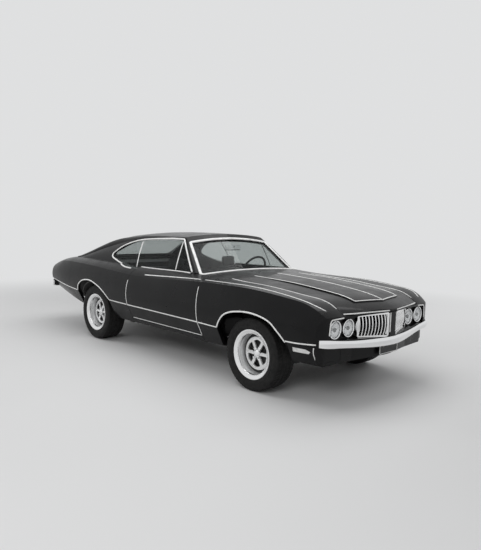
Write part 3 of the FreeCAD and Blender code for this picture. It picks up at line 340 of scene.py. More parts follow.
# Gives a sheet its thickness; an offset of 0 puts half on each side.
def thicken(sheet, thickness, offset=0):
    thick = sheet.modifiers.new("thick", "SOLIDIFY")
    thick.thickness, thick.offset = thickness, offset


bothSides = (("left", 1), ("right", -1))


# The same points on the car's left, or mirrored to its right.
def flip(points, sign):
    return points * np.array([1, sign, 1])


def unit(vectors):
    return vectors / np.maximum(np.linalg.norm(vectors, axis=-1, keepdims=True), 1e-12)


# Grid of a profile carried along a path; its columns are (across, outwards), across being tangent x normal.
def sweep(path, normals, profile, closed=False):
    tangents = np.roll(path, -1, axis=0) - np.roll(path, 1, axis=0) if closed else np.gradient(path, axis=0)
    tangents = unit(tangents)
    outward = unit(normals - (normals * tangents).sum(axis=1, keepdims=True) * tangents)
    side = np.cross(tangents, outward)
    across = side[:, None, :] * profile[None, :, :1]
    return path[:, None, :] + across + outward[:, None, :] * profile[None, :, 1:2]


# Points round a circle, for a wire's or pipe's section.
def circle(radius, steps=14):
    turn = np.linspace(0, tau, steps, endpoint=False)
    return np.stack([radius * np.cos(turn), radius * np.sin(turn)], axis=1)


# A capped pipe along a path whose section is set up across one fixed direction.
def pipe(path, across, radius):
    return boxed(sweep(path, np.tile([across], (len(path), 1)), circle(radius)))


# Grid of a profile of (radius, along) turned about an axis through the centre.
def turned(profile, steps, centre, axis="y", sign=1):
    angle = np.linspace(0, tau, steps, endpoint=False)[:, None]
    radius, along = profile[None, :, 0], profile[None, :, 1] * sign
    flat = np.broadcast_to(along, (steps, profile.shape[0]))
    one, two = radius * np.cos(angle), radius * np.sin(angle)
    order = {"x": (flat, one, two), "y": (one, flat, two), "z": (one, two, flat)}[axis]
    return np.stack(order, axis=-1) + np.array(centre)


# Even points along a smooth curve through the corners: Catmull-Rom, or straight runs with tension 0.
def resample(corners, spacing=0.02, closed=False, tension=1):
    corners = np.array(corners, dtype=float)
    if closed:
        p = np.concatenate([corners[-1:], corners, corners[:2]])
    else:
        p = np.concatenate([corners[:1] * 2 - corners[1:2], corners, corners[-1:] * 2 - corners[-2:-1]])
    t = np.linspace(0, 1, 25)[:, None, None]
    p0, p1, p2, p3 = p[:-3], p[1:-2], p[2:-1], p[3:]
    m1, m2 = tension * (p2 - p0) / 2, tension * (p3 - p1) / 2
    if tension == 0:
        curve = p1 + (p2 - p1) * t
    else:
        curve = ((2 * t**3 - 3 * t**2 + 1) * p1 + (t**3 - 2 * t**2 + t) * m1 + (3 * t**2 - 2 * t**3) * p2
                 + (t**3 - t**2) * m2)
    fine = curve.transpose(1, 0, 2).reshape(-1, corners.shape[1])
    keep = np.concatenate([[True], np.linalg.norm(np.diff(fine, axis=0), axis=1) > 1e-9])
    fine = fine[keep]
    length = np.concatenate([[0], np.cumsum(np.linalg.norm(np.diff(fine, axis=0), axis=1))])
    count = max(3, int(round(length[-1] / spacing)) + 1)
    at = np.linspace(0, length[-1], count, endpoint=not closed)
    return np.stack([np.interp(at, length, fine[:, k]) for k in range(fine.shape[1])], axis=1)


# Vertices of a mesh as an array, and back again.
def readPoints(mesh):
    co = np.empty(len(mesh.vertices) * 3)
    mesh.vertices.foreach_get("co", co)
    return co.reshape(-1, 3)


def writePoints(mesh, points):
    mesh.vertices.foreach_set("co", points.astype(np.float32).ravel())
    mesh.update()


trees = {}


# Where rays from the start points meet the named nodes, with the faces' normals turned against the rays.
def onto(names, starts, direction, smooth=2):
    key = tuple(names)
    if key not in trees:
        verts, polys, start = [], [], 0
        for name in names:
            mesh = nodes[name].data
            verts.append(readPoints(mesh))
            polys += [[i + start for i in poly.vertices] for poly in mesh.polygons]
            start += len(mesh.vertices)
        trees[key] = BVHTree.FromPolygons(np.concatenate(verts).tolist(), polys)
    ray = Vector(direction).normalized()
    hits = [trees[key].ray_cast(Vector(point), ray) for point in starts]
    found = np.array([hit[0] is not None for hit in hits])
    places = np.array([tuple(hit[0]) if hit[0] is not None else (0, 0, 0) for hit in hits])
    normals = np.array([tuple(hit[1]) if hit[0] is not None else (0, 0, 1) for hit in hits])
    normals *= np.where((normals @ np.array(ray)) > 0, -1, 1)[:, None]
    places, normals = places[found], unit(normals[found])
    for _ in range(smooth):
        normals[1:-1] = unit(normals[:-2] + normals[1:-1] * 2 + normals[2:])
    return places, normals


# A moulding's section: an arch of this width and height with its foot sunk into the surface.
def halfRound(width, height, steps=7, sunk=0.0006):
    turn = np.linspace(0, math.pi, steps)
    arch = np.stack([-np.cos(turn) * width / 2, np.sin(turn) * height], axis=1)
    return np.concatenate([[[-width / 2, -sunk]], arch, [[width / 2, -sunk]]])


fender, door = "front_fender_{}", "door_{}"  # nodes of one side, to be filled with left or right
away = {"side": 1.3, "window": 1.2, "above": 1.5, "ahead": 3.0, "behind": -3.0}  # where the rays start
# each section's width and height
trim = {"lip": (0.015, 0.0036), "line": (0.0135, 0.0036), "crease": (0.0125, 0.0032),
        "edge": (0.009, 0.0026),
        "frame": (0.020, 0.008), "belt": (0.014, 0.009), "divider": (0.014, 0.006), "shield": (0.034, 0.010),
        "backGlass": (0.020, 0.007), "face": (0.0125, 0.005), "tailLamp": (0.008, 0.004),
        "dash": (0.012, 0.004)}


# A half-round moulding along the line where rays from the start points meet the body's outer face.
def layMoulding(name, starts, direction, targets, body, section, material=whiteTrimAndHighlight, closed=False):
    path, normals = onto(targets, starts, direction)
    grid = sweep(path, normals, halfRound(*trim[section]), closed)
    surface(name, grid, material, body, loopRows=closed, loopColumns=True, caps=not closed)


# A moulding on both sides of the car, its corners given in side view (x, z), laid from outside inwards.
def sideLine(name, corners, node, section, down=0.0):
    line = resample(corners)
    body = node if node == door else "chassis"
    for side, sign in bothSides:
        starts = np.insert(line + (0, 0.5 * down), 1, sign * away["side"], axis=1)
        layMoulding(f"{name}_{side}", starts, (0, -sign, -down), [node.format(side)],
                    body.format(side), section)


frontArch = np.array([(-0.446, 0.40), (-0.442, 0.533), (-0.394, 0.606), (-0.331, 0.669), (-0.242, 0.708),
                      (-0.140, 0.728), (-0.030, 0.739), (0.071, 0.736), (0.156, 0.725), (0.234, 0.706),
                      (0.297, 0.677), (0.346, 0.636), (0.398, 0.590), (0.442, 0.540)])
rearArch = np.array([(-0.400, 0.583), (-0.375, 0.634), (-0.342, 0.676), (-0.235, 0.731), (-0.102, 0.749),
                     (0.0, 0.741), (0.102, 0.715), (0.193, 0.686), (0.274, 0.646), (0.342, 0.602),
                     (0.401, 0.554)])
frontAxle, rearAxle, axleHeight = 1.630, -1.215, 0.343


# The line moved away from a centre by a fixed distance.
def swell(line, centre, grow):
    return line + unit(line - np.array(centre)) * grow


# White lines along the arch lips, the low and shoulder creases and the door's shut lines: painted
# highlights.
sideLines = [
    ("low_line_tail", "body_shell", "line", 0, [(-2.455, 0.668), (-2.206, 0.641), (-1.900, 0.607),
                                                (-1.622, 0.586)]),
    ("low_line_quarter", "body_shell", "line", 0, [(-0.806, 0.553), (-0.60, 0.549), (-0.424, 0.547)]),
    ("low_line_door", door, "line", 0, [(-0.408, 0.546), (0.30, 0.542), (0.888, 0.539)]),
    ("low_line_fender", fender, "line", 0, [(0.902, 0.538), (1.05, 0.535), (1.184, 0.533)]),
    ("low_line_corner", fender, "line", 0, [(2.080, 0.554), (2.20, 0.556), (2.380, 0.568)]),
    ("shoulder_line_door", door, "crease", 0.5, [(-0.13, 0.876), (0.35, 0.902), (0.888, 0.932)]),
    ("shoulder_line_fender", fender, "crease", 0.5, [(0.902, 0.933), (1.22, 0.947), (1.52, 0.950),
                                                     (1.85, 0.930),
                                                     (2.15, 0.893), (2.375, 0.852)]),
    ("door_edge", door, "edge", 0, [(-0.4075, 0.400), (-0.4075, 0.66), (-0.4075, 0.915)]),
    ("door_foot", door, "edge", 0, [(-0.40, 0.3935), (0.2, 0.3935), (0.884, 0.3935)]),
    ("door_front", door, "edge", 0, [(0.8875, 0.400), (0.8875, 0.66), (0.8875, 0.895)]),
]
# White lines along the hood's bulge, vee and ridge: painted highlights.
hoodLines = {"bulge": [(1.10, 0.352), (1.60, 0.352), (2.10, 0.352), (2.366, 0.352)],
             "vee": [(2.366, 0.352), (2.400, 0.176), (2.432, 0.0)],
             "ridge": [(1.10, 0.0), (1.8, 0.0), (2.428, 0.0)]}


# Painted highlights as white lines: lips on the arches, lines along the sides, and lines laid from above on
# the hood and the fenders.
def makeBodyLines():
    arches = (("front", fender, frontArch[1:], frontAxle), ("rear", "body_shell", rearArch, rearAxle))
    for name, node, arch, axle in arches:
        sideLine(f"wheel_lip_{name}", swell(arch + (axle, 0), (axle, 0.38), 0.003), node, "lip")
    for name, node, section, down, corners in sideLines:
        sideLine(name, corners, node, section, down)
    for name, corners in hoodLines.items():
        starts = np.insert(resample(corners, 0.03, tension=0), 2, away["above"], axis=1)
        for side, sign in bothSides[:1] if name == "ridge" else bothSides:
            layMoulding(f"hood_{name}_{side}", flip(starts, sign), (0, 0, -1), ["hood"], "hood", "crease")
    starts = np.insert(resample([(1.06, 0.631), (1.6, 0.631), (2.1, 0.631), (2.376, 0.631)], 0.03), 2, 1.5,
                       axis=1)
    for side, sign in bothSides:
        layMoulding(f"fender_line_{side}", flip(starts, sign), (0, 0, -1), [fender.format(side)],
                    "chassis", "crease")


# Post lines in side view; each follows the door glass, moved back by its shift, and rides on its body.
posts = {"quarter_divider": ([(-0.489, 0.976), (-0.533, 1.130), (-0.573, 1.272)], 0.105, "chassis"),
         "vent_post": ([(0.265, 1.006), (0.240, 1.150), (0.211, 1.308)], 0.0, "door_{}")}
shieldSlope = {"foot": (0.742, 0.0, 1.002), "along": (-0.403, 0.0, 0.332), "across": (0.332, 0.0, 0.403)}


# Bright frames round every window: the sides and the door's belt, the posts, the windshield and the back
# glass.
def makeWindowTrims():
    opening = resample([(0.572, 0.992), (0.392, 1.161), (0.212, 1.330)], 0.05, tension=0).tolist()
    opening += resample([(0.212, 1.330), (0.010, 1.327), (-0.190, 1.316), (-0.385, 1.304), (-0.579, 1.288),
                         (-0.740, 1.262), (-0.880, 1.225), (-0.985, 1.183), (-1.062, 1.130), (-1.094, 1.104),
                         (-1.098, 1.090), (-1.088, 1.068), (-1.056, 1.052), (-0.926, 1.020), (-0.790, 0.993),
                         (-0.645, 0.975), (-0.500, 0.970)], 0.03)[1:].tolist()
    opening = np.array(opening)
    centre = np.array((-0.25, 1.12))
    grown = opening + unit((opening - centre) * np.array([0.35, 1.0])) * 0.010
    line = resample(grown, 0.015, tension=0)
    belt = np.insert(resample([(-0.405, 0.7700), (0.05, 0.7695), (0.545, 0.769)], 0.03), 2, 1.4, axis=1)
    for side, sign in bothSides:
        starts = np.insert(line, 1, sign * away["window"], axis=1)
        layMoulding(f"side_window_frame_{side}", starts, (0, -sign, 0), ["body_shell"], "chassis", "frame")
        layMoulding(f"belt_frame_{side}", flip(belt, sign), (0, 0, -1), [f"door_{side}"],
                    f"door_{side}", "belt")
        for name, (points, shift, body) in posts.items():
            starts = np.insert(resample(points) + (shift, 0), 1, sign * away["window"], axis=1)
            path, normals = onto([f"door_glass_{side}"], starts, (0, -sign, 0))
            path[:, 0] -= shift
            grid = sweep(path, normals, halfRound(*trim["divider"]))
            surface(f"{name}_{side}", grid, whiteTrimAndHighlight, body.format(side), loopColumns=True, caps=True)
    length = np.linalg.norm(shieldSlope["along"])
    along, normal = np.array(shieldSlope["along"]) / length, np.array(shieldSlope["across"]) / length
    outline = resample([(0.0, 0.028), (0.36, 0.025), (0.728, 0.018), (0.658, 0.275), (0.589, 0.530),
                        (0.30, 0.545),
                        (0.0, 0.551), (-0.30, 0.545), (-0.589, 0.530), (-0.658, 0.275), (-0.728, 0.018),
                        (-0.36, 0.025)], closed=True, tension=0)
    starts = (np.array(shieldSlope["foot"]) + outline[:, :1] * np.array([0, 1, 0]) + outline[:, 1:] * along
              + normal * 0.3)
    layMoulding("windshield_frame", starts, tuple(-normal), ["body_shell"], "chassis", "shield", closed=True)
    back = resample([(-1.080, 0.0), (-1.095, 0.30), (-1.103, 0.498), (-1.25, 0.530), (-1.39, 0.557),
                     (-1.53, 0.585), (-1.672, 0.611), (-1.683, 0.35), (-1.686, 0.0), (-1.683, -0.35),
                     (-1.672, -0.611), (-1.53, -0.585), (-1.39, -0.557), (-1.25, -0.530), (-1.103, -0.498),
                     (-1.095, -0.30)], closed=True, tension=0.35)
    layMoulding("back_glass_frame", np.insert(back, 2, 1.6, axis=1), (0, 0, -1), ["body_shell"], "chassis",
                "backGlass", chrome, closed=True)


makeBodyLines()
makeWindowTrims()
print("body lines and window trims laid")


tyreSize = {"half": 0.1015, "flat": 0.1010, "crown": 0.0042, "grooves": (-0.052, 0.0, 0.052),
            "grooveWidth": 0.007,
            "grooveDepth": 0.008, "blocks": 64, "sipeDepth": 0.006, "innerR": 0.2163,
            "slant": 46, "middleSlant": 60, "shoulder": 0.060, "ribDepth": 0.003}
wheelPlaces = {"front_left": (frontAxle, 0.787), "front_right": (frontAxle, -0.787),
               "rear_left": (rearAxle, 0.787), "rear_right": (rearAxle, -0.787)}


# One at the middle, falling smoothly to zero at half a width away.
def smoothBump(x, half):
    return np.clip(1 - np.abs(x) / half, 0, 1) ** 0.5


# Tread and sidewalls as one ring: radius from the section, less the grooves and the slanted sipes.
def tyreGrid(centre):
    t = tyreSize
    wall = np.array([(0.2163, 0.0985), (0.2320, 0.1030), (0.2365, 0.1115), (0.2500, 0.1180),
                     (0.2690, 0.1215),
                     (0.2760, 0.1222), (0.2775, 0.1212), (0.2800, 0.1222), (0.2960, 0.1218),
                     (0.3110, 0.1195),
                     (0.3230, 0.1150), (0.3330, 0.1105), (0.3385, 0.1060)])
    tread = np.linspace(t["flat"], -t["flat"], 59)
    treadR = axleHeight - t["crown"] * (np.abs(tread) / t["flat"]) ** 3
    section = np.concatenate([wall, np.stack([treadR, tread], axis=1), wall[::-1] * np.array([1, -1]),
                              [(t["innerR"], -0.05), (t["innerR"], 0.05)]])
    angle = np.linspace(0, tau, t["blocks"] * 5, endpoint=False)[:, None]
    radius, along = section[None, :, 0] + 0 * angle, section[None, :, 1] + 0 * angle
    off = np.abs(along)
    cut = sum(smoothBump(along - g, t["grooveWidth"]) for g in t["grooves"]) * t["grooveDepth"]
    lean = angle * t["blocks"] + along * t["slant"] * np.sign(along + 1e-9)
    sipe = np.clip(np.cos(lean) * 3 - 1.7, 0, 1) * t["sipeDepth"] * (off > t["shoulder"])
    middle = np.clip(np.cos(angle * t["blocks"] + along * t["middleSlant"]) * 3 - 2.0, 0, 1)
    sipe += middle * t["sipeDepth"] * 0.7 * (off <= 0.046) * (off > 0.010)
    radius = radius - np.where((radius > 0.334) & (off < t["half"]), np.maximum(cut, sipe), 0)
    rib = (off > 0.105) & (radius > 0.3225) & (radius < 0.3395)
    radius = radius - np.where(rib, np.clip(np.cos(lean) * 3 - 1.7, 0, 1) * t["ribDepth"], 0)
    return np.stack([radius * np.cos(angle), along, radius * np.sin(angle)], axis=-1) + np.array(centre)


def makeTyres():
    for place, (x, y) in wheelPlaces.items():
        grid = tyreGrid((x, y, axleHeight))
        tyre = surface(f"tyre_{place}_tread", grid, tyreRubber, f"wheel_{place}", loopRows=True,
                       loopColumns=True)
        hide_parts(f"tyre_{place}")


lugs = {"count": 5, "circle": 0.0480, "valve": (0.120, 0.030)}


# Polished ring over the lip, a black ring in the dish as painted shade, a ribbed cap, lug nuts and a valve
# on each wheel.
def makeWheelDetails():
    ring = np.array([(0.2325, 0.1085), (0.2345, 0.1120), (0.2320, 0.1150), (0.2265, 0.1152),
                     (0.2200, 0.1118),
                     (0.2120, 0.1070), (0.2035, 0.1035), (0.1975, 0.1015), (0.1945, 0.0970),
                     (0.1938, 0.0900),
                     (0.1930, 0.0700), (0.1905, 0.0600), (0.1900, 0.0610), (0.1918, 0.0900),
                     (0.1925, 0.0985),
                     (0.1965, 0.1000), (0.2040, 0.1010), (0.2180, 0.1080)])
    # A thin black ring laid in the dish: painted shade for the dish's shadowed wall.
    dishShade = np.array([(0.1862, 0.0138), (0.1590, 0.0138), (0.1590, 0.0150), (0.1862, 0.0150)])
    cap = np.array([(0.0001, 0.0572), (0.0080, 0.0570), (0.0160, 0.0560), (0.0225, 0.0542), (0.0275, 0.0512),
                    (0.0300, 0.0470), (0.0335, 0.0450), (0.0345, 0.0410), (0.0345, 0.0380),
                    (0.0001, 0.0380)])
    hexTurn = np.linspace(0, tau, 7)[:-1]
    stem = np.array([(0.0001, 0.0), (0.0042, 0.0), (0.0042, 0.022), (0.0030, 0.024), (0.0030, 0.032),
                     (0.0001, 0.033)])
    for place, (x, y) in wheelPlaces.items():
        sign = 1 if y > 0 else -1
        body, centre = f"wheel_{place}", (x, y, axleHeight)
        surface(f"trim_ring_{place}", turned(ring, 160, centre, sign=sign), brightTrim, body, True, True)
        surface(f"painted_dish_shade_{place}", turned(dishShade, 120, centre, sign=sign), satinBlack, body, True, True)
        surface(f"hub_cap_{place}", turned(cap, 64, centre, sign=sign), chrome, body, True, False)
        blocks = []
        for index in range(lugs["count"]):
            turn = tau * index / lugs["count"] + math.pi / 2
            middle = np.array([math.cos(turn), 0, math.sin(turn)]) * lugs["circle"]
            rows = []
            for radius, along in ((0.0098, 0.0385), (0.0098, 0.0510), (0.0080, 0.0545), (0.0040, 0.0560)):
                rows.append(np.stack([radius * np.cos(hexTurn), np.full(6, along * sign),
                                      radius * np.sin(hexTurn)], axis=1))
            blocks.append(boxed(np.array(rows) + middle + np.array(centre)))
        many(f"lug_nuts_{place}", blocks, chrome, body, smooth=False)
        out, deep = lugs["valve"]
        foot = (x + out, y + sign * deep, axleHeight + out)
        surface(f"valve_{place}", turned(stem, 16, foot, sign=sign), satinBlack, body, True, False)


# A box with rounded edges and corners: each point of a sphere pushed to the box less its radius.
def softBox(low, high, radius, steps=6, turn=None, about=None):
    low, high = np.array(low, dtype=float), np.array(high, dtype=float)
    middle, half = (low + high) / 2, (high - low) / 2 - radius
    polar = np.concatenate([np.linspace(0, math.pi / 2, steps), np.linspace(math.pi / 2, math.pi, steps)])
    quarter = np.linspace(0, math.pi / 2, steps)
    round_ = np.concatenate([quarter + k * math.pi / 2 for k in range(4)])
    a, b = np.meshgrid(polar, round_, indexing="ij")
    unitPoints = np.stack([np.sin(a) * np.cos(b), np.sin(a) * np.sin(b), np.cos(a)], axis=-1)
    step = np.arange(len(round_)) // steps
    signX = np.where((step == 0) | (step == 3), 1, -1)
    signY = np.where(step < 2, 1, -1)
    signZ = np.where(np.arange(len(polar)) < steps, 1, -1)
    push = np.stack([np.broadcast_to(signX, a.shape), np.broadcast_to(signY, a.shape),
                     np.broadcast_to(signZ[:, None], a.shape)], axis=-1) * half
    points = unitPoints * radius + push
    if turn is not None:
        points = points @ np.array(turn).T
    return points + (middle if about is None else np.array(about))


# Rotation by an angle in degrees about a main axis, as a 3 by 3 array.
def turnMatrix(axis, degrees):
    return np.array(Matrix.Rotation(math.radians(degrees), 3, axis))


# The turned grid about the x axis, aimed along another direction from the centre.
def aimed(profile, steps, centre, direction):
    grid = turned(profile, steps, (0, 0, 0), axis="x")
    spin = np.array(Vector((1, 0, 0)).rotation_difference(Vector(direction)).to_matrix())
    return grid @ spin.T + np.array(centre)


lamp = {"radius": 0.070, "wall": 2.402, "front": 2.4323, "centres": ((0.694, 0.676), (0.505, 0.672)),
        "ribs": 22, "bezel": 0.0765}


# Head lamps: a bright bowl, a bulb shield, a domed lens with ribs inside it, and a rounded bezel.
def makeHeadLamps():
    r, wall = lamp["radius"], lamp["wall"]
    bowls, lenses, shields, bezels, screws = [], [], [], [], []
    radii = np.linspace(0.0002, r - 0.004, 14)
    inner = np.stack([radii, wall - 0.0085 + 0.0195 * (radii / (r - 0.004)) ** 2], axis=1)
    outer = inner[::-1] + np.array([0.0008, -0.0012])
    bowl = np.concatenate([inner, outer])
    dome = np.linspace(0.0002, r, 22)
    lensOuter = np.stack([dome, lamp["front"] - 0.0165 * (dome / r) ** 2.4], axis=1)
    lensInner = np.stack([dome[::-1] * 0.985, lamp["front"] - 0.0032 - 0.0150 * (dome[::-1] / r) ** 2.4],
                         axis=1)
    lens = np.concatenate([lensOuter, lensInner])
    shield = np.array([(0.0002, wall + 0.002), (0.0140, wall + 0.002), (0.0200, wall + 0.009),
                       (0.0185, wall + 0.0165), (0.0002, wall + 0.0190)])
    ringTurn = np.linspace(0, tau, 15)[:-1]
    bezel = np.stack([lamp["bezel"] + 0.0068 * np.cos(ringTurn), wall + 0.0175 + 0.0062 * np.sin(ringTurn)],
                     axis=1)
    screw = np.array([(0.0001, 0.0), (0.0045, 0.0), (0.0045, 0.0015), (0.003, 0.0032), (0.0001, 0.0036)])
    for y, z in lamp["centres"]:
        for sign in (1, -1):
            centre = (0, y * sign, z)
            bowls.append(ringed(turned(bowl, 72, centre, axis="x")))
            lensGrid = turned(lens, 96, centre, axis="x")
            back = np.arange(len(lens)) >= len(dome)
            rib = np.cos((lensGrid[..., 1] - y * sign) / r * lamp["ribs"] * math.pi) * 0.0007
            lensGrid[..., 0] -= np.where(back[None, :], rib + 0.0007, 0)
            lenses.append(ringed(lensGrid))
            shields.append(lathed(turned(shield, 40, centre, axis="x")))
            bezels.append(ringed(turned(bezel, 96, centre, axis="x")))
            for turn in (90, 210, 330):
                out = math.radians(turn)
                at = (wall + 0.0225, y * sign + lamp["bezel"] * math.cos(out),
                      z + lamp["bezel"] * math.sin(out))
                screws.append(lathed(turned(screw, 14, at, axis="x")))
    bowl = many("lamp_bowls", bowls, mirrorBowl)
    glassPiece = many("lamp_lenses", lenses, lampGlass)
    many("lamp_bulb_shields", shields, satinBlack)
    many("lamp_bezels", bezels, chrome)
    many("lamp_screws", screws, bareSteel, smooth=False)
    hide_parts("head_lamps")


face = {"pocket": [(0.628, 0.7775), (0.700, 0.7735), (0.760, 0.770), (0.778, 0.760), (0.785, 0.742),
                   (0.791, 0.690),
                   (0.795, 0.640)],
        "lip": [(0.066, 0.8035), (0.230, 0.8035), (0.420, 0.8035), (0.606, 0.8035)],
        "inner": [(0.048, 0.604), (0.048, 0.690), (0.048, 0.782)],
        "fins": 7, "finBack": 2.4035, "finFront": 2.4220}


# Bright edges round the lamp and grille opening, and the black fins behind the grille's bars.
def makeFace():
    targets = {"pocket": ("nose_panel", "chassis"), "inner": ("nose_panel", "chassis"),
               "lip": ("hood", "hood")}
    for name, (node, body) in targets.items():
        starts = np.insert(resample(face[name], 0.012), 0, away["ahead"], axis=1)
        for side, sign in bothSides:
            layMoulding(f"face_{name}_{side}", flip(starts, sign), (-1, 0, 0), [node], body, "face")
    fins = []
    for z in np.linspace(0.600, 0.752, face["fins"]):
        for sign in (1, -1):
            fin = softBox((face["finBack"], 0.070, z - 0.0013), (face["finFront"], 0.398, z + 0.0013),
                          0.0012, 3)
            fins.append(boxed(flip(fin, sign)))
    many("grille_fins", fins, satinBlack)


valanceCorner = {"plan": [(0.585, 2.4138), (0.600, 2.4120), (0.650, 2.4066), (0.700, 2.4012),
                          (0.750, 2.3958),
                          (0.800, 2.3900), (0.850, 2.3762), (0.872, 2.3680)],
                 "low": 0.4035, "high": 0.5430, "thick": 0.010, "step": 0.0004}


# The valance's wall where it turns the corner: its plan curve raised to the bumper, a closed shell.
def makeCornerPanels():
    plan = resample(valanceCorner["plan"], 0.008)[:, ::-1]
    height = np.linspace(valanceCorner["low"], valanceCorner["high"], 14)
    walls = []
    for back, levels in ((valanceCorner["step"], height), (valanceCorner["thick"], height[::-1])):
        line = np.repeat((plan - (back, 0))[:, None], len(levels), axis=1)
        walls.append(np.concatenate([line, np.broadcast_to(levels[:, None], (*line.shape[:2], 1))], axis=2))
    shell = np.concatenate(walls, axis=1)
    for side, sign in bothSides:
        surface(f"valance_corner_{side}", flip(shell, sign), paint, "chassis", False, True, caps=True,
                smooth=False)
    # A white line along the valance's edge: a painted highlight.
    sideLine("valance_edge", [(2.3540, 0.538), (2.3440, 0.515), (2.3360, 0.480), (2.3360, 0.440),
                              (2.3400, 0.405)],
             "front_valance", "edge")


plate = {"x": 2.5222, "half": 0.1475, "low": 0.404, "high": 0.4825, "edge": 0.0055, "round": 0.010,
         "screwY": 0.089, "screwZ": 0.470}


# A raised bright edge round the blank licence plate, and its two screws.
def makePlate():
    h, lo, hi, r = plate["half"], plate["low"], plate["high"], plate["round"]
    corners = [(h - r, hi - r), (-h + r, hi - r), (-h + r, lo + r), (h - r, lo + r)]
    ring = []
    for index, middle in enumerate(corners):
        turns = np.linspace(0, math.pi / 2, 6) + index * math.pi / 2
        ring.append(np.array(middle) + r * np.stack([np.cos(turns), np.sin(turns)], axis=1))
    ring = np.concatenate(ring)
    path = np.insert(ring, 0, plate["x"], axis=1)
    normals = np.tile(np.array([[1.0, 0.0, 0.0]]), (len(path), 1))
    grid = sweep(path, normals, halfRound(plate["edge"], 0.003), True)
    surface("plate_edge", grid, whiteTrimAndHighlight, "chassis", loopRows=True, loopColumns=True)
    screw = np.array([(0.0001, 0.0), (0.0070, 0.0), (0.0070, 0.0020), (0.0045, 0.0036), (0.0001, 0.0040)])
    blocks = [lathed(turned(screw, 24, (plate["x"], y * plate["screwY"], plate["screwZ"]),
                            axis="x")) for y in (-1, 1)]
    many("plate_screws", blocks, bareSteel)


tail = {"centres": (0.455, 0.590), "half": 0.0485, "low": 0.6675, "high": 0.8005}


# Chrome frames round the tail lamps, and a lock on the trunk lid.
def makeTailTrims():
    for index, y in enumerate(tail["centres"]):
        h, lo, hi, bow = tail["half"], tail["low"], tail["high"], 0.001
        ring = resample([(y - h, lo), (y, lo - bow), (y + h, lo), (y + h + bow, (lo + hi) / 2), (y + h, hi),
                         (y, hi + bow), (y - h, hi), (y - h - bow, (lo + hi) / 2)], 0.008, closed=True,
                         tension=0.25)
        starts = np.insert(ring, 0, away["behind"], axis=1)
        for side, sign in bothSides:
            layMoulding(f"tail_lamp_frame_{index}_{side}", flip(starts, sign), (1, 0, 0),
                        ["body_shell", "tail_lamps"], "chassis", "tailLamp", chrome, closed=True)
    lock = np.array([(0.0001, 0.0), (0.016, 0.0), (0.017, 0.003), (0.014, 0.006), (0.0095, 0.0062),
                     (0.009, 0.0045),
                     (0.0001, 0.0045)])
    places, _ = onto(["trunk_lid"], [(-3.0, 0.0, 0.878)] * 3, (1, 0, 0), 0)
    surface("trunk_lock", turned(lock * np.array([1, -1]), 32, places[0], axis="x"), chrome,
            "trunk_lid", True, False)


# A crowned pad in its own axes: a sphere's points raised to a power below one, so that its faces
# are full and its edges soft, drawn in a little between its corners.
def padGrid(size, power=0.42, waist=0.06, steps=44):
    half = np.array(size) / 2
    polar, turn = np.linspace(0, math.pi, steps), np.linspace(0, tau, steps * 2, endpoint=False)
    a, b = np.meshgrid(polar, turn, indexing="ij")
    ahead, aside = [np.sign(v) * np.abs(v) ** power for v in (np.cos(b), np.sin(b))]
    rise = np.sign(np.cos(a)) * np.abs(np.cos(a)) ** 0.55
    spread = np.abs(np.sin(a)) ** power
    points = np.stack([spread * ahead, spread * aside, rise], axis=-1)
    drawn = 1 - waist * (1 - np.abs(points[..., [1, 0]]) ** 2)
    points[..., :2] *= drawn
    return points * half


softness = {"voxel": 0.008, "pressure": 4.0, "stretch": 30, "bend": 2.0, "frames": 20, "cap": 0.020,
            "slack": 0.012, "seam": 0.009, "seamWidth": 0.006, "fill": 0.85}


# The pad remeshed and blown up like stuffed cloth; no point moves further than the cap.
def inflate(obj):
    bpy.context.view_layer.objects.active = obj
    remesh = obj.modifiers.new("remesh", "REMESH")
    remesh.mode, remesh.voxel_size = "VOXEL", softness["voxel"]
    bpy.ops.object.modifier_apply(modifier=remesh.name)
    start = readPoints(obj.data)
    cloth = obj.modifiers.new("cloth", "CLOTH")
    cloth.settings.use_pressure = True
    cloth.settings.uniform_pressure_force = softness["pressure"]
    cloth.settings.effector_weights.gravity = 0
    cloth.settings.tension_stiffness = cloth.settings.compression_stiffness = softness["stretch"]
    cloth.settings.bending_stiffness = softness["bend"]
    cloth.point_cache.frame_start, cloth.point_cache.frame_end = 1, softness["frames"]
    for index in range(1, softness["frames"] + 1):
        bpy.context.scene.frame_set(index)
    grown = bpy.data.meshes.new_from_object(obj.evaluated_get(bpy.context.evaluated_depsgraph_get()))
    moved = readPoints(grown) - start
    bpy.data.meshes.remove(grown)
    obj.modifiers.remove(cloth)
    bpy.context.scene.frame_set(1)
    length = np.linalg.norm(moved, axis=1, keepdims=True)
    writePoints(obj.data, start + moved * np.minimum(1, softness["cap"] / np.maximum(length, 1e-9)))


# Sewn channels pressed into a pad's upper face: pleats across its middle and a seam round them.
def sew(points, size, pleats, border):
    half, width = np.array(size) / 2, softness["seamWidth"]
    inside = half[:2] - border
    near = np.abs(points[:, :2]) - inside
    nearest = np.maximum(near[:, 0], near[:, 1])
    ring = np.exp(-(np.abs(nearest) / width) ** 2) * (nearest > -0.02)
    pitch = 2 * inside[1] / pleats
    place = (points[:, 1] + inside[1]) / pitch
    phase = np.abs(place - np.round(place)) * pitch
    pleat = np.exp(-(phase / width) ** 2) * (near[:, 0] < 0) * (near[:, 1] < 0)
    upper = np.clip(np.clip(points[:, 2] / half[2], 0, 1) * 2 - 0.6, 0, 1)
    moved = points.copy()
    moved[:, 2] -= np.maximum(ring, pleat) * softness["seam"] * upper
    return moved


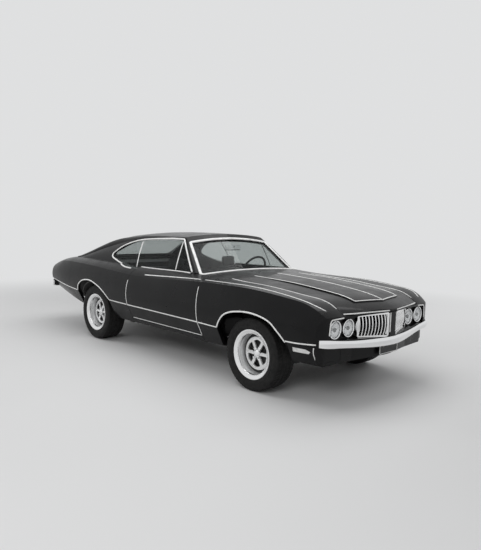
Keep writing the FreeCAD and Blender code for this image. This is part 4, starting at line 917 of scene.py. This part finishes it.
seatParts = {
    "front_cushion": {"size": (0.520, 0.410, 0.135), "at": (0.158, 0.420, 0.488), "tilt": -4, "pleats": 6,
                      "border": 0.062, "node": "front_seats"},
    "front_back": {"size": (0.500, 0.410, 0.105), "at": (-0.098, 0.420, 0.738), "tilt": -104, "pleats": 6,
                   "border": 0.062, "node": "front_seats"},
    "head_rest": {"size": (0.150, 0.230, 0.062), "at": (-0.178, 0.420, 1.036), "tilt": -97, "pleats": 1,
                  "border": 0.028, "node": "front_seats"},
    "rear_cushion": {"size": (0.430, 1.050, 0.120), "at": (-0.722, 0.0, 0.580), "tilt": 3, "pleats": 14,
                     "border": 0.070, "node": "rear_seat"},
    "rear_back": {"size": (0.370, 1.050, 0.098), "at": (-1.012, 0.0, 0.768), "tilt": -103, "pleats": 14,
                  "border": 0.060, "node": "rear_seat"},
}


# Each pad is blown up once in its own axes, sewn, turned into place and, for a front seat, mirrored.
def makeSeats():
    for name, part in seatParts.items():
        obj = surface(name + "_blank", padGrid(np.array(part["size"]) - softness["slack"]), seatVinyl,
                      "chassis", loopColumns=True)
        inflate(obj)
        points = sew(readPoints(obj.data), part["size"], part["pleats"], part["border"])
        points = points @ turnMatrix("Y", part["tilt"]).T + np.array(part["at"])
        faces = [tuple(poly.vertices) for poly in obj.data.polygons]
        bpy.data.objects.remove(obj)
        for side, sign in bothSides if part["node"] == "front_seats" else (("full", 1),):
            piece = finishMesh(f"{name}_{side}", flip(points, sign).tolist(), faces, seatVinyl, "chassis")
            finer = piece.modifiers.new("finer", "SUBSURF")
            finer.levels = finer.render_levels = 1
            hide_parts(part["node"])
        print("seat pad:", name)


# Moulded seat shells under and behind the front pads, with runners, and head rest posts.
def makeSeatShells():
    shells = [softBox((-0.075, 0.232, 0.392), (0.385, 0.608, 0.436), 0.016),
              softBox((-0.245, -0.178, -0.010), (0.255, 0.178, 0.012), 0.010, turn=turnMatrix("Y", -104),
                      about=(-0.158, 0.420, 0.722))]
    shells += [softBox((-0.085, y - 0.014, 0.3545), (0.395, y + 0.014, 0.394), 0.004)
               for y in (0.262, 0.578)]
    rod = np.array([(0.0001, -0.05), (0.0055, -0.05), (0.0055, 0.05), (0.0001, 0.05)])
    rods = [aimed(rod, 16, (-0.164, y, 0.976), (-0.12, 0, 1)) for y in (0.375, 0.465)]
    blocks = []
    for sign in (1, -1):
        blocks += [boxed(flip(grid, sign)) for grid in shells]
        blocks += [(flip(grid, sign), True, False, True) for grid in rods]
    many("seat_shells", blocks, satinBlack)


dial = {"radius": 0.038, "centre": (0.5520, 0.370, 0.893), "spread": 0.098, "ticks": 12, "sweep": 260}


# Ahead of the driver: three round dials with plain ticks, a trim strip, a radio and two knobs.
def makeDash():
    back = np.array((-0.985, 0.0, 0.170))
    up = np.array((0.170, 0.0, 0.985))
    faces, rings, ticks = [], [], []
    disc = np.array([(0.0001, 0.0), (dial["radius"], 0.0), (dial["radius"], 0.004), (0.0001, 0.004)])
    rim = np.array([(0.0375, -0.002), (0.0435, -0.002), (0.0425, 0.010), (0.0400, 0.013), (0.0378, 0.010)])
    for shift in (-1, 0, 1):
        centre = np.array(dial["centre"]) + np.array([0, shift * dial["spread"], 0]) + back * 0.012
        faces.append(lathed(aimed(disc, 48, centre, back)))
        rings.append(ringed(aimed(rim, 64, centre, back)))
        for index in range(dial["ticks"]):
            turn = math.radians(dial["sweep"] * (index / (dial["ticks"] - 1) - 0.5))
            out = np.array((0, 1, 0)) * math.sin(turn) + up * math.cos(turn)
            across = np.cross(back, out)
            spot = centre + back * 0.0046 + out * 0.031
            quad = np.array([[spot + out * 0.004 + across * 0.0008, spot + out * 0.004 - across * 0.0008],
                             [spot - out * 0.004 + across * 0.0008, spot - out * 0.004 - across * 0.0008]])
            ticks.append(opened(quad))
        hand = np.array([[centre + back * 0.0052 + up * 0.030 + (0, 0.0006, 0),
                          centre + back * 0.0052 + up * 0.030],
                         [centre + back * 0.0052 - up * 0.006 + (0, 0.0016, 0),
                          centre + back * 0.0052 - up * 0.006 - (0, 0.0016, 0)]])
        ticks.append(opened(hand))
    many("dial_faces", faces, satinBlack)
    many("dial_rings", rings, chrome)
    many("dial_ticks", ticks, whiteTrimAndHighlight, smooth=False)
    starts = np.insert(resample([(-0.66, 0.905), (0.0, 0.905), (0.20, 0.905)], 0.03), 0, 0.2, axis=1)
    layMoulding("dash_strip", starts, (1, 0, 0), ["dashboard"], "chassis", "dash", brightTrim)
    radio = softBox((0.535, -0.085, 0.845), (0.560, 0.085, 0.885), 0.006)
    many("radio_face", [boxed(radio)], satinBlack)
    knob = np.array([(0.0001, 0.0), (0.0125, 0.0), (0.0120, 0.014), (0.0095, 0.017), (0.0001, 0.017)])
    knobs = [lathed(aimed(knob, 32, (0.536, y, 0.865), (-1, 0, 0))) for y in (-0.110, 0.110)]
    many("radio_knobs", knobs, brightTrim)
    column = np.array((-0.9, 0.0, 0.42)) / math.hypot(0.9, 0.42)
    hub = np.array((0.345, 0.370, 0.962))
    pad = np.array([(0.0001, 0.0), (0.058, 0.0), (0.060, 0.006), (0.052, 0.016), (0.030, 0.021),
                    (0.0001, 0.022)])
    surface("horn_pad", aimed(pad, 48, hub - column * 0.012, column), dashVinyl, "chassis", True, False)
    ringTurn = np.linspace(0, tau, 11)[:-1]
    ring = np.stack([0.044 + 0.002 * np.cos(ringTurn), 0.009 + 0.002 * np.sin(ringTurn)], axis=1)
    surface("horn_ring", aimed(ring, 64, hub, column), chrome, "chassis", True, True)


doorFit = {"inner": 0.7345, "panel": (-0.370, 0.860, 0.425, 0.930), "thick": 0.002, "crown": 0.007,
           "channels": (0.36, 0.80), "channelDepth": 0.0035, "pleats": 22, "pleatDepth": 0.0022}


# Door trim: a crowned vinyl panel, an arm rest, a pull and a window winder, on each door.
def makeDoorTrims():
    x0, x1, z0, z1 = doorFit["panel"]
    u, v = np.meshgrid(np.linspace(0, 1, 90), np.linspace(0, 1, 50), indexing="ij")
    crown = doorFit["crown"] * (1 - (2 * u - 1) ** 8) * (1 - (2 * v - 1) ** 8)
    depth = doorFit["channelDepth"]
    channel = sum(depth * np.exp(-((v - level) / 0.012) ** 2) for level in doorFit["channels"])
    pleat = doorFit["pleatDepth"] * np.exp(-((((u * doorFit["pleats"]) % 1) - 0.5) / 0.10) ** 2)
    pleat = pleat * (v > 0.38) * (v < 0.78)
    inner = doorFit["inner"] - 0.0008 - crown + channel * (crown > 0.003) + pleat * (crown > 0.005)
    front = np.stack([x0 + (x1 - x0) * u, inner, z0 + (z1 - z0) * v], axis=-1)
    rest = softBox((-0.080, 0.676, 0.640), (0.330, 0.7300, 0.690), 0.018)
    pull = softBox((0.000, 0.668, 0.688), (0.230, 0.690, 0.704), 0.007)
    boss = np.array([(0.0001, 0.0), (0.019, 0.0), (0.018, 0.010), (0.0001, 0.013)])
    knob = np.array([(0.0001, 0.0), (0.010, 0.0), (0.012, 0.010), (0.009, 0.022), (0.0001, 0.024)])
    crank = softBox((-0.008, -0.006, -0.002), (0.008, 0.006, 0.100), 0.005, turn=turnMatrix("Y", 55),
                    about=(0.455, 0.712, 0.575))
    for side, sign in bothSides:
        body = f"door_{side}"
        thicken(surface(f"door_panel_{side}", flip(front, sign), seatVinyl, body), doorFit["thick"])
        many(f"arm_rest_{side}", [boxed(flip(rest, sign))], seatVinyl, body)
        blocks = [boxed(flip(pull, sign)),
                  lathed(flip(aimed(boss, 32, (0.420, 0.7290, 0.600), (0, -1, 0)), sign)),
                  boxed(flip(crank, sign)),
                  lathed(flip(aimed(knob, 24, (0.494, 0.7080, 0.548), (0, -1, 0)), sign))]
        many(f"winder_{side}", blocks, chrome, body)


motor = {"middle": 1.455, "bank": (0.140, 0.700), "cover": (0.205, 0.772), "port": (0.222, 0.650),
         "logY": 0.246,
         "cleanerX": 1.450, "shaftZ": 0.640, "crankZ": 0.520, "fanX": 1.915, "blades": 6,
         "bladeThick": 0.002}


# The engine: block, sump, two slanted banks with covers, manifolds, an intake with its air cleaner,
# and the drive to a fan behind the radiator.
def makeEngine():
    blocks = [softBox((1.150, -0.120, 0.520), (1.760, 0.120, 0.690), 0.02),
              softBox((1.170, -0.110, 0.450), (1.640, 0.110, 0.530), 0.03),
              softBox((1.200, -0.105, 0.700), (1.700, 0.105, 0.800), 0.03)]
    covers, pipes = [], []
    for sign in (1, -1):
        lean = turnMatrix("X", -45 * sign)
        blocks.append(softBox((-0.275, -0.080, -0.085), (0.275, 0.080, 0.085), 0.012, turn=lean,
                              about=(motor["middle"], motor["bank"][0] * sign, motor["bank"][1])))
        cover = softBox((-0.270, -0.062, -0.028), (0.270, 0.062, 0.028), 0.018, steps=10)
        covers.append(boxed(cover @ lean.T + (motor["middle"], motor["cover"][0] * sign, motor["cover"][1])))
        y, z = motor["port"][0] * sign, motor["port"][1]
        for x in np.linspace(1.22, 1.69, 4):
            bend = [(x, y, z), (x, y + 0.024 * sign, z - 0.02), (x - 0.01, y + 0.026 * sign, z - 0.075)]
            pipes.append(pipe(resample(bend, 0.01), (1.0, 0, 0), 0.018))
        y = motor["logY"] * sign
        pipes.append(pipe(resample([(1.700, y, 0.572), (1.45, y, 0.565), (1.200, y, 0.550)], 0.03),
                          (0, 0, 1.0), 0.022))
    piece = many("engine_block", [boxed(grid) for grid in blocks], castIron)
    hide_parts("engine")
    many("valve_covers", covers, chrome)
    many("exhaust_manifolds", pipes, bareSteel)
    body = np.array([(0.0001, 0.828), (0.060, 0.828), (0.064, 0.852), (0.150, 0.856), (0.168, 0.862),
                     (0.168, 0.902),
                     (0.160, 0.914), (0.120, 0.918), (0.060, 0.921), (0.020, 0.923), (0.0001, 0.923)])
    surface("air_cleaner", turned(body, 96, (motor["cleanerX"], 0.0, 0.0), axis="z"), satinBlack,
            "chassis", True, False)
    nut = np.array([(0.0001, 0.922), (0.012, 0.922), (0.012, 0.930), (0.006, 0.933), (0.0001, 0.933)])
    surface("cleaner_nut", turned(nut, 24, (motor["cleanerX"], 0.0, 0.0), axis="z"), chrome,
            "chassis", True, False)
    pulley = np.array([(0.0001, 1.790), (0.070, 1.790), (0.076, 1.798), (0.066, 1.808), (0.076, 1.818),
                       (0.070, 1.826),
                       (0.030, 1.826), (0.022, 1.900), (0.0001, 1.902)])
    spins = [lathed(turned(pulley, 48, (0, 0, motor["shaftZ"]), axis="x")),
             lathed(turned(pulley * (0.9, 1), 48, (0, 0, motor["crankZ"]), axis="x"))]
    many("belt_pulleys", spins, bareSteel)
    blades = []
    for index in range(motor["blades"]):
        turn = tau * index / motor["blades"]
        u, v = np.meshgrid(np.linspace(0.030, 0.190, 12), np.linspace(-0.032, 0.032, 6), indexing="ij")
        flat = np.stack([motor["fanX"] + v * 0.55 + 0.004 * np.sin(u * 30), v, u], axis=-1)
        spun = flat @ turnMatrix("X", math.degrees(turn)).T + np.array((0, 0, motor["shaftZ"]))
        blades.append(opened(spun))
    thicken(many("fan_blades", blades, bareSteel), motor["bladeThick"], -1)
    battery = softBox((2.07, -0.500, 0.620), (2.22, -0.340, 0.800), 0.010)
    tray = softBox((2.06, -0.520, 0.600), (2.23, -0.330, 0.622), 0.006)
    terminal = np.array([(0.0001, 0.79), (0.010, 0.79), (0.009, 0.818), (0.0001, 0.819)])
    terminals = [lathed(turned(terminal, 20, (2.10, y, 0), axis="z")) for y in (-0.465, -0.375)]
    many("battery", [boxed(battery), boxed(tray)], satinBlack)
    many("battery_posts", terminals, bareSteel)


apron = {"rear": 1.060, "front": 2.215, "inner": 0.466, "outer": 0.872, "foot": 0.478, "shelf": 0.700,
         "arch": 0.440,
         "round": 0.030, "thick": 0.0022}


# Inner fenders: a wall that turns outwards into a shelf, raised over the wheel by the arch's circle.
def makeAprons():
    along = np.linspace(apron["rear"], apron["front"], 120)
    arch = axleHeight + np.sqrt(np.maximum(0, apron["arch"] ** 2 - (along - frontAxle) ** 2))
    top = np.log(np.exp(60 * arch) + np.exp(60 * apron["shelf"])) / 60
    bend = np.linspace(0, math.pi / 2, 8)
    edge = apron["round"]
    across = np.concatenate([np.full(10, apron["inner"]), apron["inner"] + edge * (1 - np.cos(bend)),
                             np.linspace(apron["inner"] + edge, apron["outer"], 22)[1:]])
    low = np.linspace(0, 1, 10, endpoint=False)
    high = np.concatenate([apron["foot"] + (top[:, None] - edge - apron["foot"]) * low[None, :],
                           top[:, None] - edge + edge * np.sin(bend)[None, :],
                           np.repeat(top[:, None], 21, axis=1)], axis=1)
    grid = np.stack([np.repeat(along[:, None], len(across), axis=1),
                     np.broadcast_to(across, high.shape), high], axis=-1)
    for side, sign in bothSides:
        thicken(surface(f"inner_fender_{side}", flip(grid, sign), chassisPaint), apron["thick"])


flange = {"inner": 0.395, "bend": 0.452, "outer": 0.500, "inside": 0.850, "deck": 0.5065, "thick": 0.0016}


# Flanges round the rear wheelhouses: a flat ring from the wheelhouse's wall to past the arch's opening,
# whose rim
# turns out by a smooth step to meet the quarter panel.
def makeArchFlanges():
    ring = np.linspace(flange["inner"], flange["outer"], 18)
    lowest = np.arcsin((flange["deck"] - axleHeight) / ring)
    share = np.linspace(0, 1, 90)
    angle = lowest[:, None] + (math.pi - 2 * lowest[:, None]) * share[None, :]
    along = rearAxle + ring[:, None] * np.cos(angle)
    high = axleHeight + ring[:, None] * np.sin(angle)
    starts = np.stack([along[-1], np.full(len(share), 0.70), high[-1]], axis=1)
    skin = onto(["body_shell"], starts, (0, 1, 0))[0][:, 1] - flange["thick"]
    turn = np.clip((ring - flange["bend"]) / (flange["outer"] - flange["bend"]), 0, 1)
    turn = turn * turn * (3 - 2 * turn)
    out = flange["inside"] + turn[:, None] * (skin[None, :] - flange["inside"])
    grid = np.stack([along, out, high], axis=-1)
    for side, sign in bothSides:
        thicken(surface(f"arch_flange_{side}", flip(grid, sign), chassisPaint), flange["thick"])


lever = {"foot": (0.330, 0.0, 0.470), "knee": (0.372, 0.0, 0.600), "top": (0.352, 0.0, 0.790),
         "boot": (0.328, 0.0, 0.488), "radius": 0.0065, "ball": 0.024}


# The moulded hump over the gearbox, a low console, and the gear lever in its pleated boot.
def makeTunnelTrim():
    hump = softBox((0.492, -0.208, 0.440), (0.604, 0.208, 0.662), 0.034, 8)
    console = softBox((-0.060, -0.098, 0.446), (0.500, 0.098, 0.494), 0.018, 8)
    many("tunnel_cover", [boxed(hump), boxed(console)], dashVinyl)
    rise = np.linspace(0, 1, 25)
    pleats = np.stack([0.058 - 0.044 * rise ** 0.8 + 0.004 * np.cos(rise * tau * 4), rise * 0.080], axis=1)
    profile = np.concatenate([[(0.0001, 0.0)], pleats, [(0.0001, 0.080)]])
    surface("lever_boot", aimed(profile, 40, lever["boot"], (0.2, 0, 0.98)), dashVinyl, "chassis",
            True, False)
    stem = resample([lever["foot"], lever["knee"], lever["top"]], 0.01)
    many("gear_lever", [pipe(stem, (0.0, 1.0, 0.0), lever["radius"])], chrome)
    turn = np.linspace(0, math.pi, 20)
    ball = np.stack([0.0001 + lever["ball"] * np.sin(turn), -lever["ball"] * np.cos(turn)], axis=1)
    surface("lever_knob", aimed(ball, 36, lever["top"], (0, 0, 1)), satinBlack, "chassis", True, False)


cooler = {"fins": 66, "finHalf": 0.286, "capY": 0.12, "x": 2.260}


# Core with upright fins between two round-edged tanks.
def makeRadiator():
    tanks = [softBox((2.236, -0.312, 0.770), (2.284, 0.312, 0.832), 0.014),
             softBox((2.236, -0.312, 0.4985), (2.284, 0.312, 0.545), 0.014),
             softBox((2.238, -0.310, 0.540), (2.282, -0.292, 0.775), 0.004),
             softBox((2.238, 0.292, 0.540), (2.282, 0.310, 0.775), 0.004)]
    piece = many("radiator_tanks", [boxed(grid) for grid in tanks], satinBlack)
    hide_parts("radiator")
    fins = []
    for y in np.linspace(-cooler["finHalf"], cooler["finHalf"], cooler["fins"]):
        fins.append(boxed(softBox((2.242, y - 0.0012, 0.543), (2.278, y + 0.0012, 0.772), 0.001, 2)))
    many("radiator_fins", fins, bareSteel, smooth=False)
    cap = np.array([(0.0001, 0.828), (0.022, 0.828), (0.026, 0.834), (0.026, 0.842), (0.020, 0.846),
                    (0.0001, 0.847)])
    surface("radiator_cap", turned(cap, 32, (cooler["x"], cooler["capY"], 0.0), axis="z"), chrome,
            "chassis", True, False)


springs = {"front": (frontAxle, 0.478, 0.240, 0.410, 0.062, 6.5),
           "rear": (rearAxle, 0.505, 0.372, 0.502, 0.058, 5.0),
           "wire": 0.0075}


# Coil springs: a wire carried along a helix round each spring seat.
def makeSprings():
    blocks = []
    for key in ("front", "rear"):
        x, y, low, high, radius, coils = springs[key]
        turn = np.linspace(0, tau * coils, int(coils * 40))
        path = np.stack([x + radius * np.cos(turn), y + radius * np.sin(turn),
                         np.linspace(low, high, len(turn))], axis=1)
        out = np.stack([np.cos(turn), np.sin(turn), 0 * turn], axis=1)
        for sign in (1, -1):
            blocks.append(boxed(sweep(flip(path, sign), flip(out, sign), circle(springs["wire"], 10))))
    many("coil_springs", blocks, satinBlack)


mats = {"front": (0.46, 0.62, 0.215, 0.690), "rear": (-0.475, -0.255, 0.20, 0.66)}
matSize = {"height": 0.3585, "ribs": 22, "rib": 0.0016, "border": 0.002, "thick": 0.0035}


# Ribbed rubber mats on the floor on both sides of the tunnel.
def makeMats():
    for name, (x0, x1, y0, y1) in mats.items():
        u, v = np.meshgrid(np.linspace(0, 1, 40), np.linspace(0, 1, 120), indexing="ij")
        edge = np.minimum(np.minimum(u, 1 - u) * (x1 - x0), np.minimum(v, 1 - v) * (y1 - y0))
        rib = matSize["rib"] * (np.cos(v * tau * matSize["ribs"]) > 0) * (edge > 0.018)
        high = matSize["height"] + (rib + matSize["border"] * (edge < 0.012))
        top = np.stack([x0 + (x1 - x0) * u, y0 + (y1 - y0) * v, high], axis=-1)
        for side, sign in bothSides:
            thicken(surface(f"floor_mat_{name}_{side}", flip(top, sign), satinBlack),
                    matSize["thick"])


makeTyres()
makeWheelDetails()
print("tyres and wheel details made")
makeHeadLamps()
makeFace()
makeCornerPanels()
makePlate()
makeTailTrims()
print("lamps, face, plate and tail trims made")
makeSeats()
makeSeatShells()
makeDash()
makeDoorTrims()
makeMats()
makeTunnelTrim()
print("cabin fitted")
makeEngine()
makeAprons()
makeArchFlanges()
makeRadiator()
makeSprings()
print("engine bay and springs made")


studio = {"floorColour": (0.74, 0.74, 0.74), "background": (0.74, 0.745, 0.75), "ambient": 0.42,
          "fadeStart": 3.6, "fadeEnd": 8.5, "eye": (5.122, -4.367, 1.562), "yaw": 134.133, "pitch": -5.829,
          "roll": 1.933, "lens": 35.69, "shift": (-0.0419, 0.0046)}


# Place, target, width, height, power, and whether the paint mirrors it.
lamps = {"overhead": ((0.5, 0.0, 5.2), (0, 0, 0), 7.0, 3.6, 165, True),
         "keySide": ((4.5, -6.5, 4.2), (0.4, 0, 0.6), 4.5, 2.2, 160, False),
         "rearSide": ((-6.0, -4.0, 3.0), (-0.8, 0, 0.7), 3.0, 2.0, 90, False),
         "farSide": ((2.0, 7.0, 3.6), (0.3, 0, 0.8), 5.0, 2.0, 100, False)}


# The view axis from its yaw and pitch, rolled about itself.
def makeCamera():
    yaw, pitch, roll = (math.radians(studio[key]) for key in ("yaw", "pitch", "roll"))
    ahead = Vector((math.cos(pitch) * math.cos(yaw), math.cos(pitch) * math.sin(yaw), math.sin(pitch)))
    right = Vector((math.sin(yaw), -math.cos(yaw), 0))
    up = right.cross(ahead)
    right, up = (right * math.cos(roll) + up * math.sin(roll), up * math.cos(roll) - right * math.sin(roll))
    data = bpy.data.cameras.new("camera")
    data.lens, data.sensor_width = studio["lens"], 36
    data.shift_x, data.shift_y = studio["shift"]
    camera = bpy.data.objects.new("camera", data)
    place = Matrix((right, up, -ahead)).transposed().to_4x4()
    place.translation = studio["eye"]
    camera.matrix_world = place
    bpy.context.collection.objects.link(camera)
    bpy.context.scene.camera = camera


# An area light that faces its target; the black paint mirrors only the one overhead.
def areaLamp(name, place, target, width, height, power, mirrored):
    data = bpy.data.lights.new(name, "AREA")
    data.shape, data.size, data.size_y, data.energy = "RECTANGLE", width, height, power
    panel = bpy.data.objects.new(name, data)
    panel.location = place
    panel.rotation_euler = (Vector(target) - Vector(place)).to_track_quat("-Z", "Y").to_euler()
    panel.visible_glossy = mirrored
    bpy.context.collection.objects.link(panel)


# True for rays from the eye, from a mirror or through glass, which see the plain background.
def seenRay(tree):
    path = addNode(tree, "ShaderNodeLightPath").outputs
    total = path["Is Camera Ray"]
    for kind in ("Is Glossy Ray", "Is Transmission Ray"):
        add = addNode(tree, "ShaderNodeMath", operation="ADD", use_clamp=True)
        tree.links.new(total, add.inputs[0])
        tree.links.new(path[kind], add.inputs[1])
        total = add.outputs[0]
    return total


# A wide pale floor that fades into the pale background with distance, and four soft lights.
def makeStudio():
    mat, tree, shader, coords = newMaterial("paleFloor", Roughness=0.7, Specular_IOR_Level=0.2)
    vary(shader, "Base Color", coords, 0.4, 3, (0.3, studio["floorColour"]),
         (0.7, tuple(c * 0.985 for c in studio["floorColour"])))
    reach = addNode(tree, "ShaderNodeVectorMath", operation="LENGTH")
    tree.links.new(coords, reach.inputs[0])
    fade = addNode(tree, "ShaderNodeMapRange", interpolation_type="SMOOTHSTEP", From_Min=studio["fadeStart"],
                   From_Max=studio["fadeEnd"])
    tree.links.new(reach.outputs["Value"], fade.inputs["Value"])
    amount = addNode(tree, "ShaderNodeMath", operation="MULTIPLY")
    tree.links.new(fade.outputs["Result"], amount.inputs[0])
    tree.links.new(seenRay(tree), amount.inputs[1])
    glow = addNode(tree, "ShaderNodeEmission", Color=studio["background"])
    mixInto(tree, amount.outputs[0], shader, glow)
    ring = np.insert(circle(60, 96), 2, 0, axis=1)
    mesh = bpy.data.meshes.new("floor")
    mesh.from_pydata(ring.tolist(), [], [list(range(len(ring)))])
    mesh.materials.append(mat)
    floor = bpy.data.objects.new("floor", mesh)
    bpy.context.collection.objects.link(floor)
    world = bpy.data.worlds.new("world")
    world.use_nodes = True
    tree = world.node_tree
    lit = tree.nodes["Background"]
    setUp(lit, {"Color": (0.80, 0.81, 0.82), "Strength": studio["ambient"]})
    seen = addNode(tree, "ShaderNodeBackground", Color=studio["background"])
    mixInto(tree, seenRay(tree), lit, seen, "World Output")
    bpy.context.scene.world = world
    for name, values in lamps.items():
        areaLamp(name, *values)
    bpy.context.scene.view_settings.view_transform = "Standard"


makeCamera()
makeStudio()
print("studio ready")
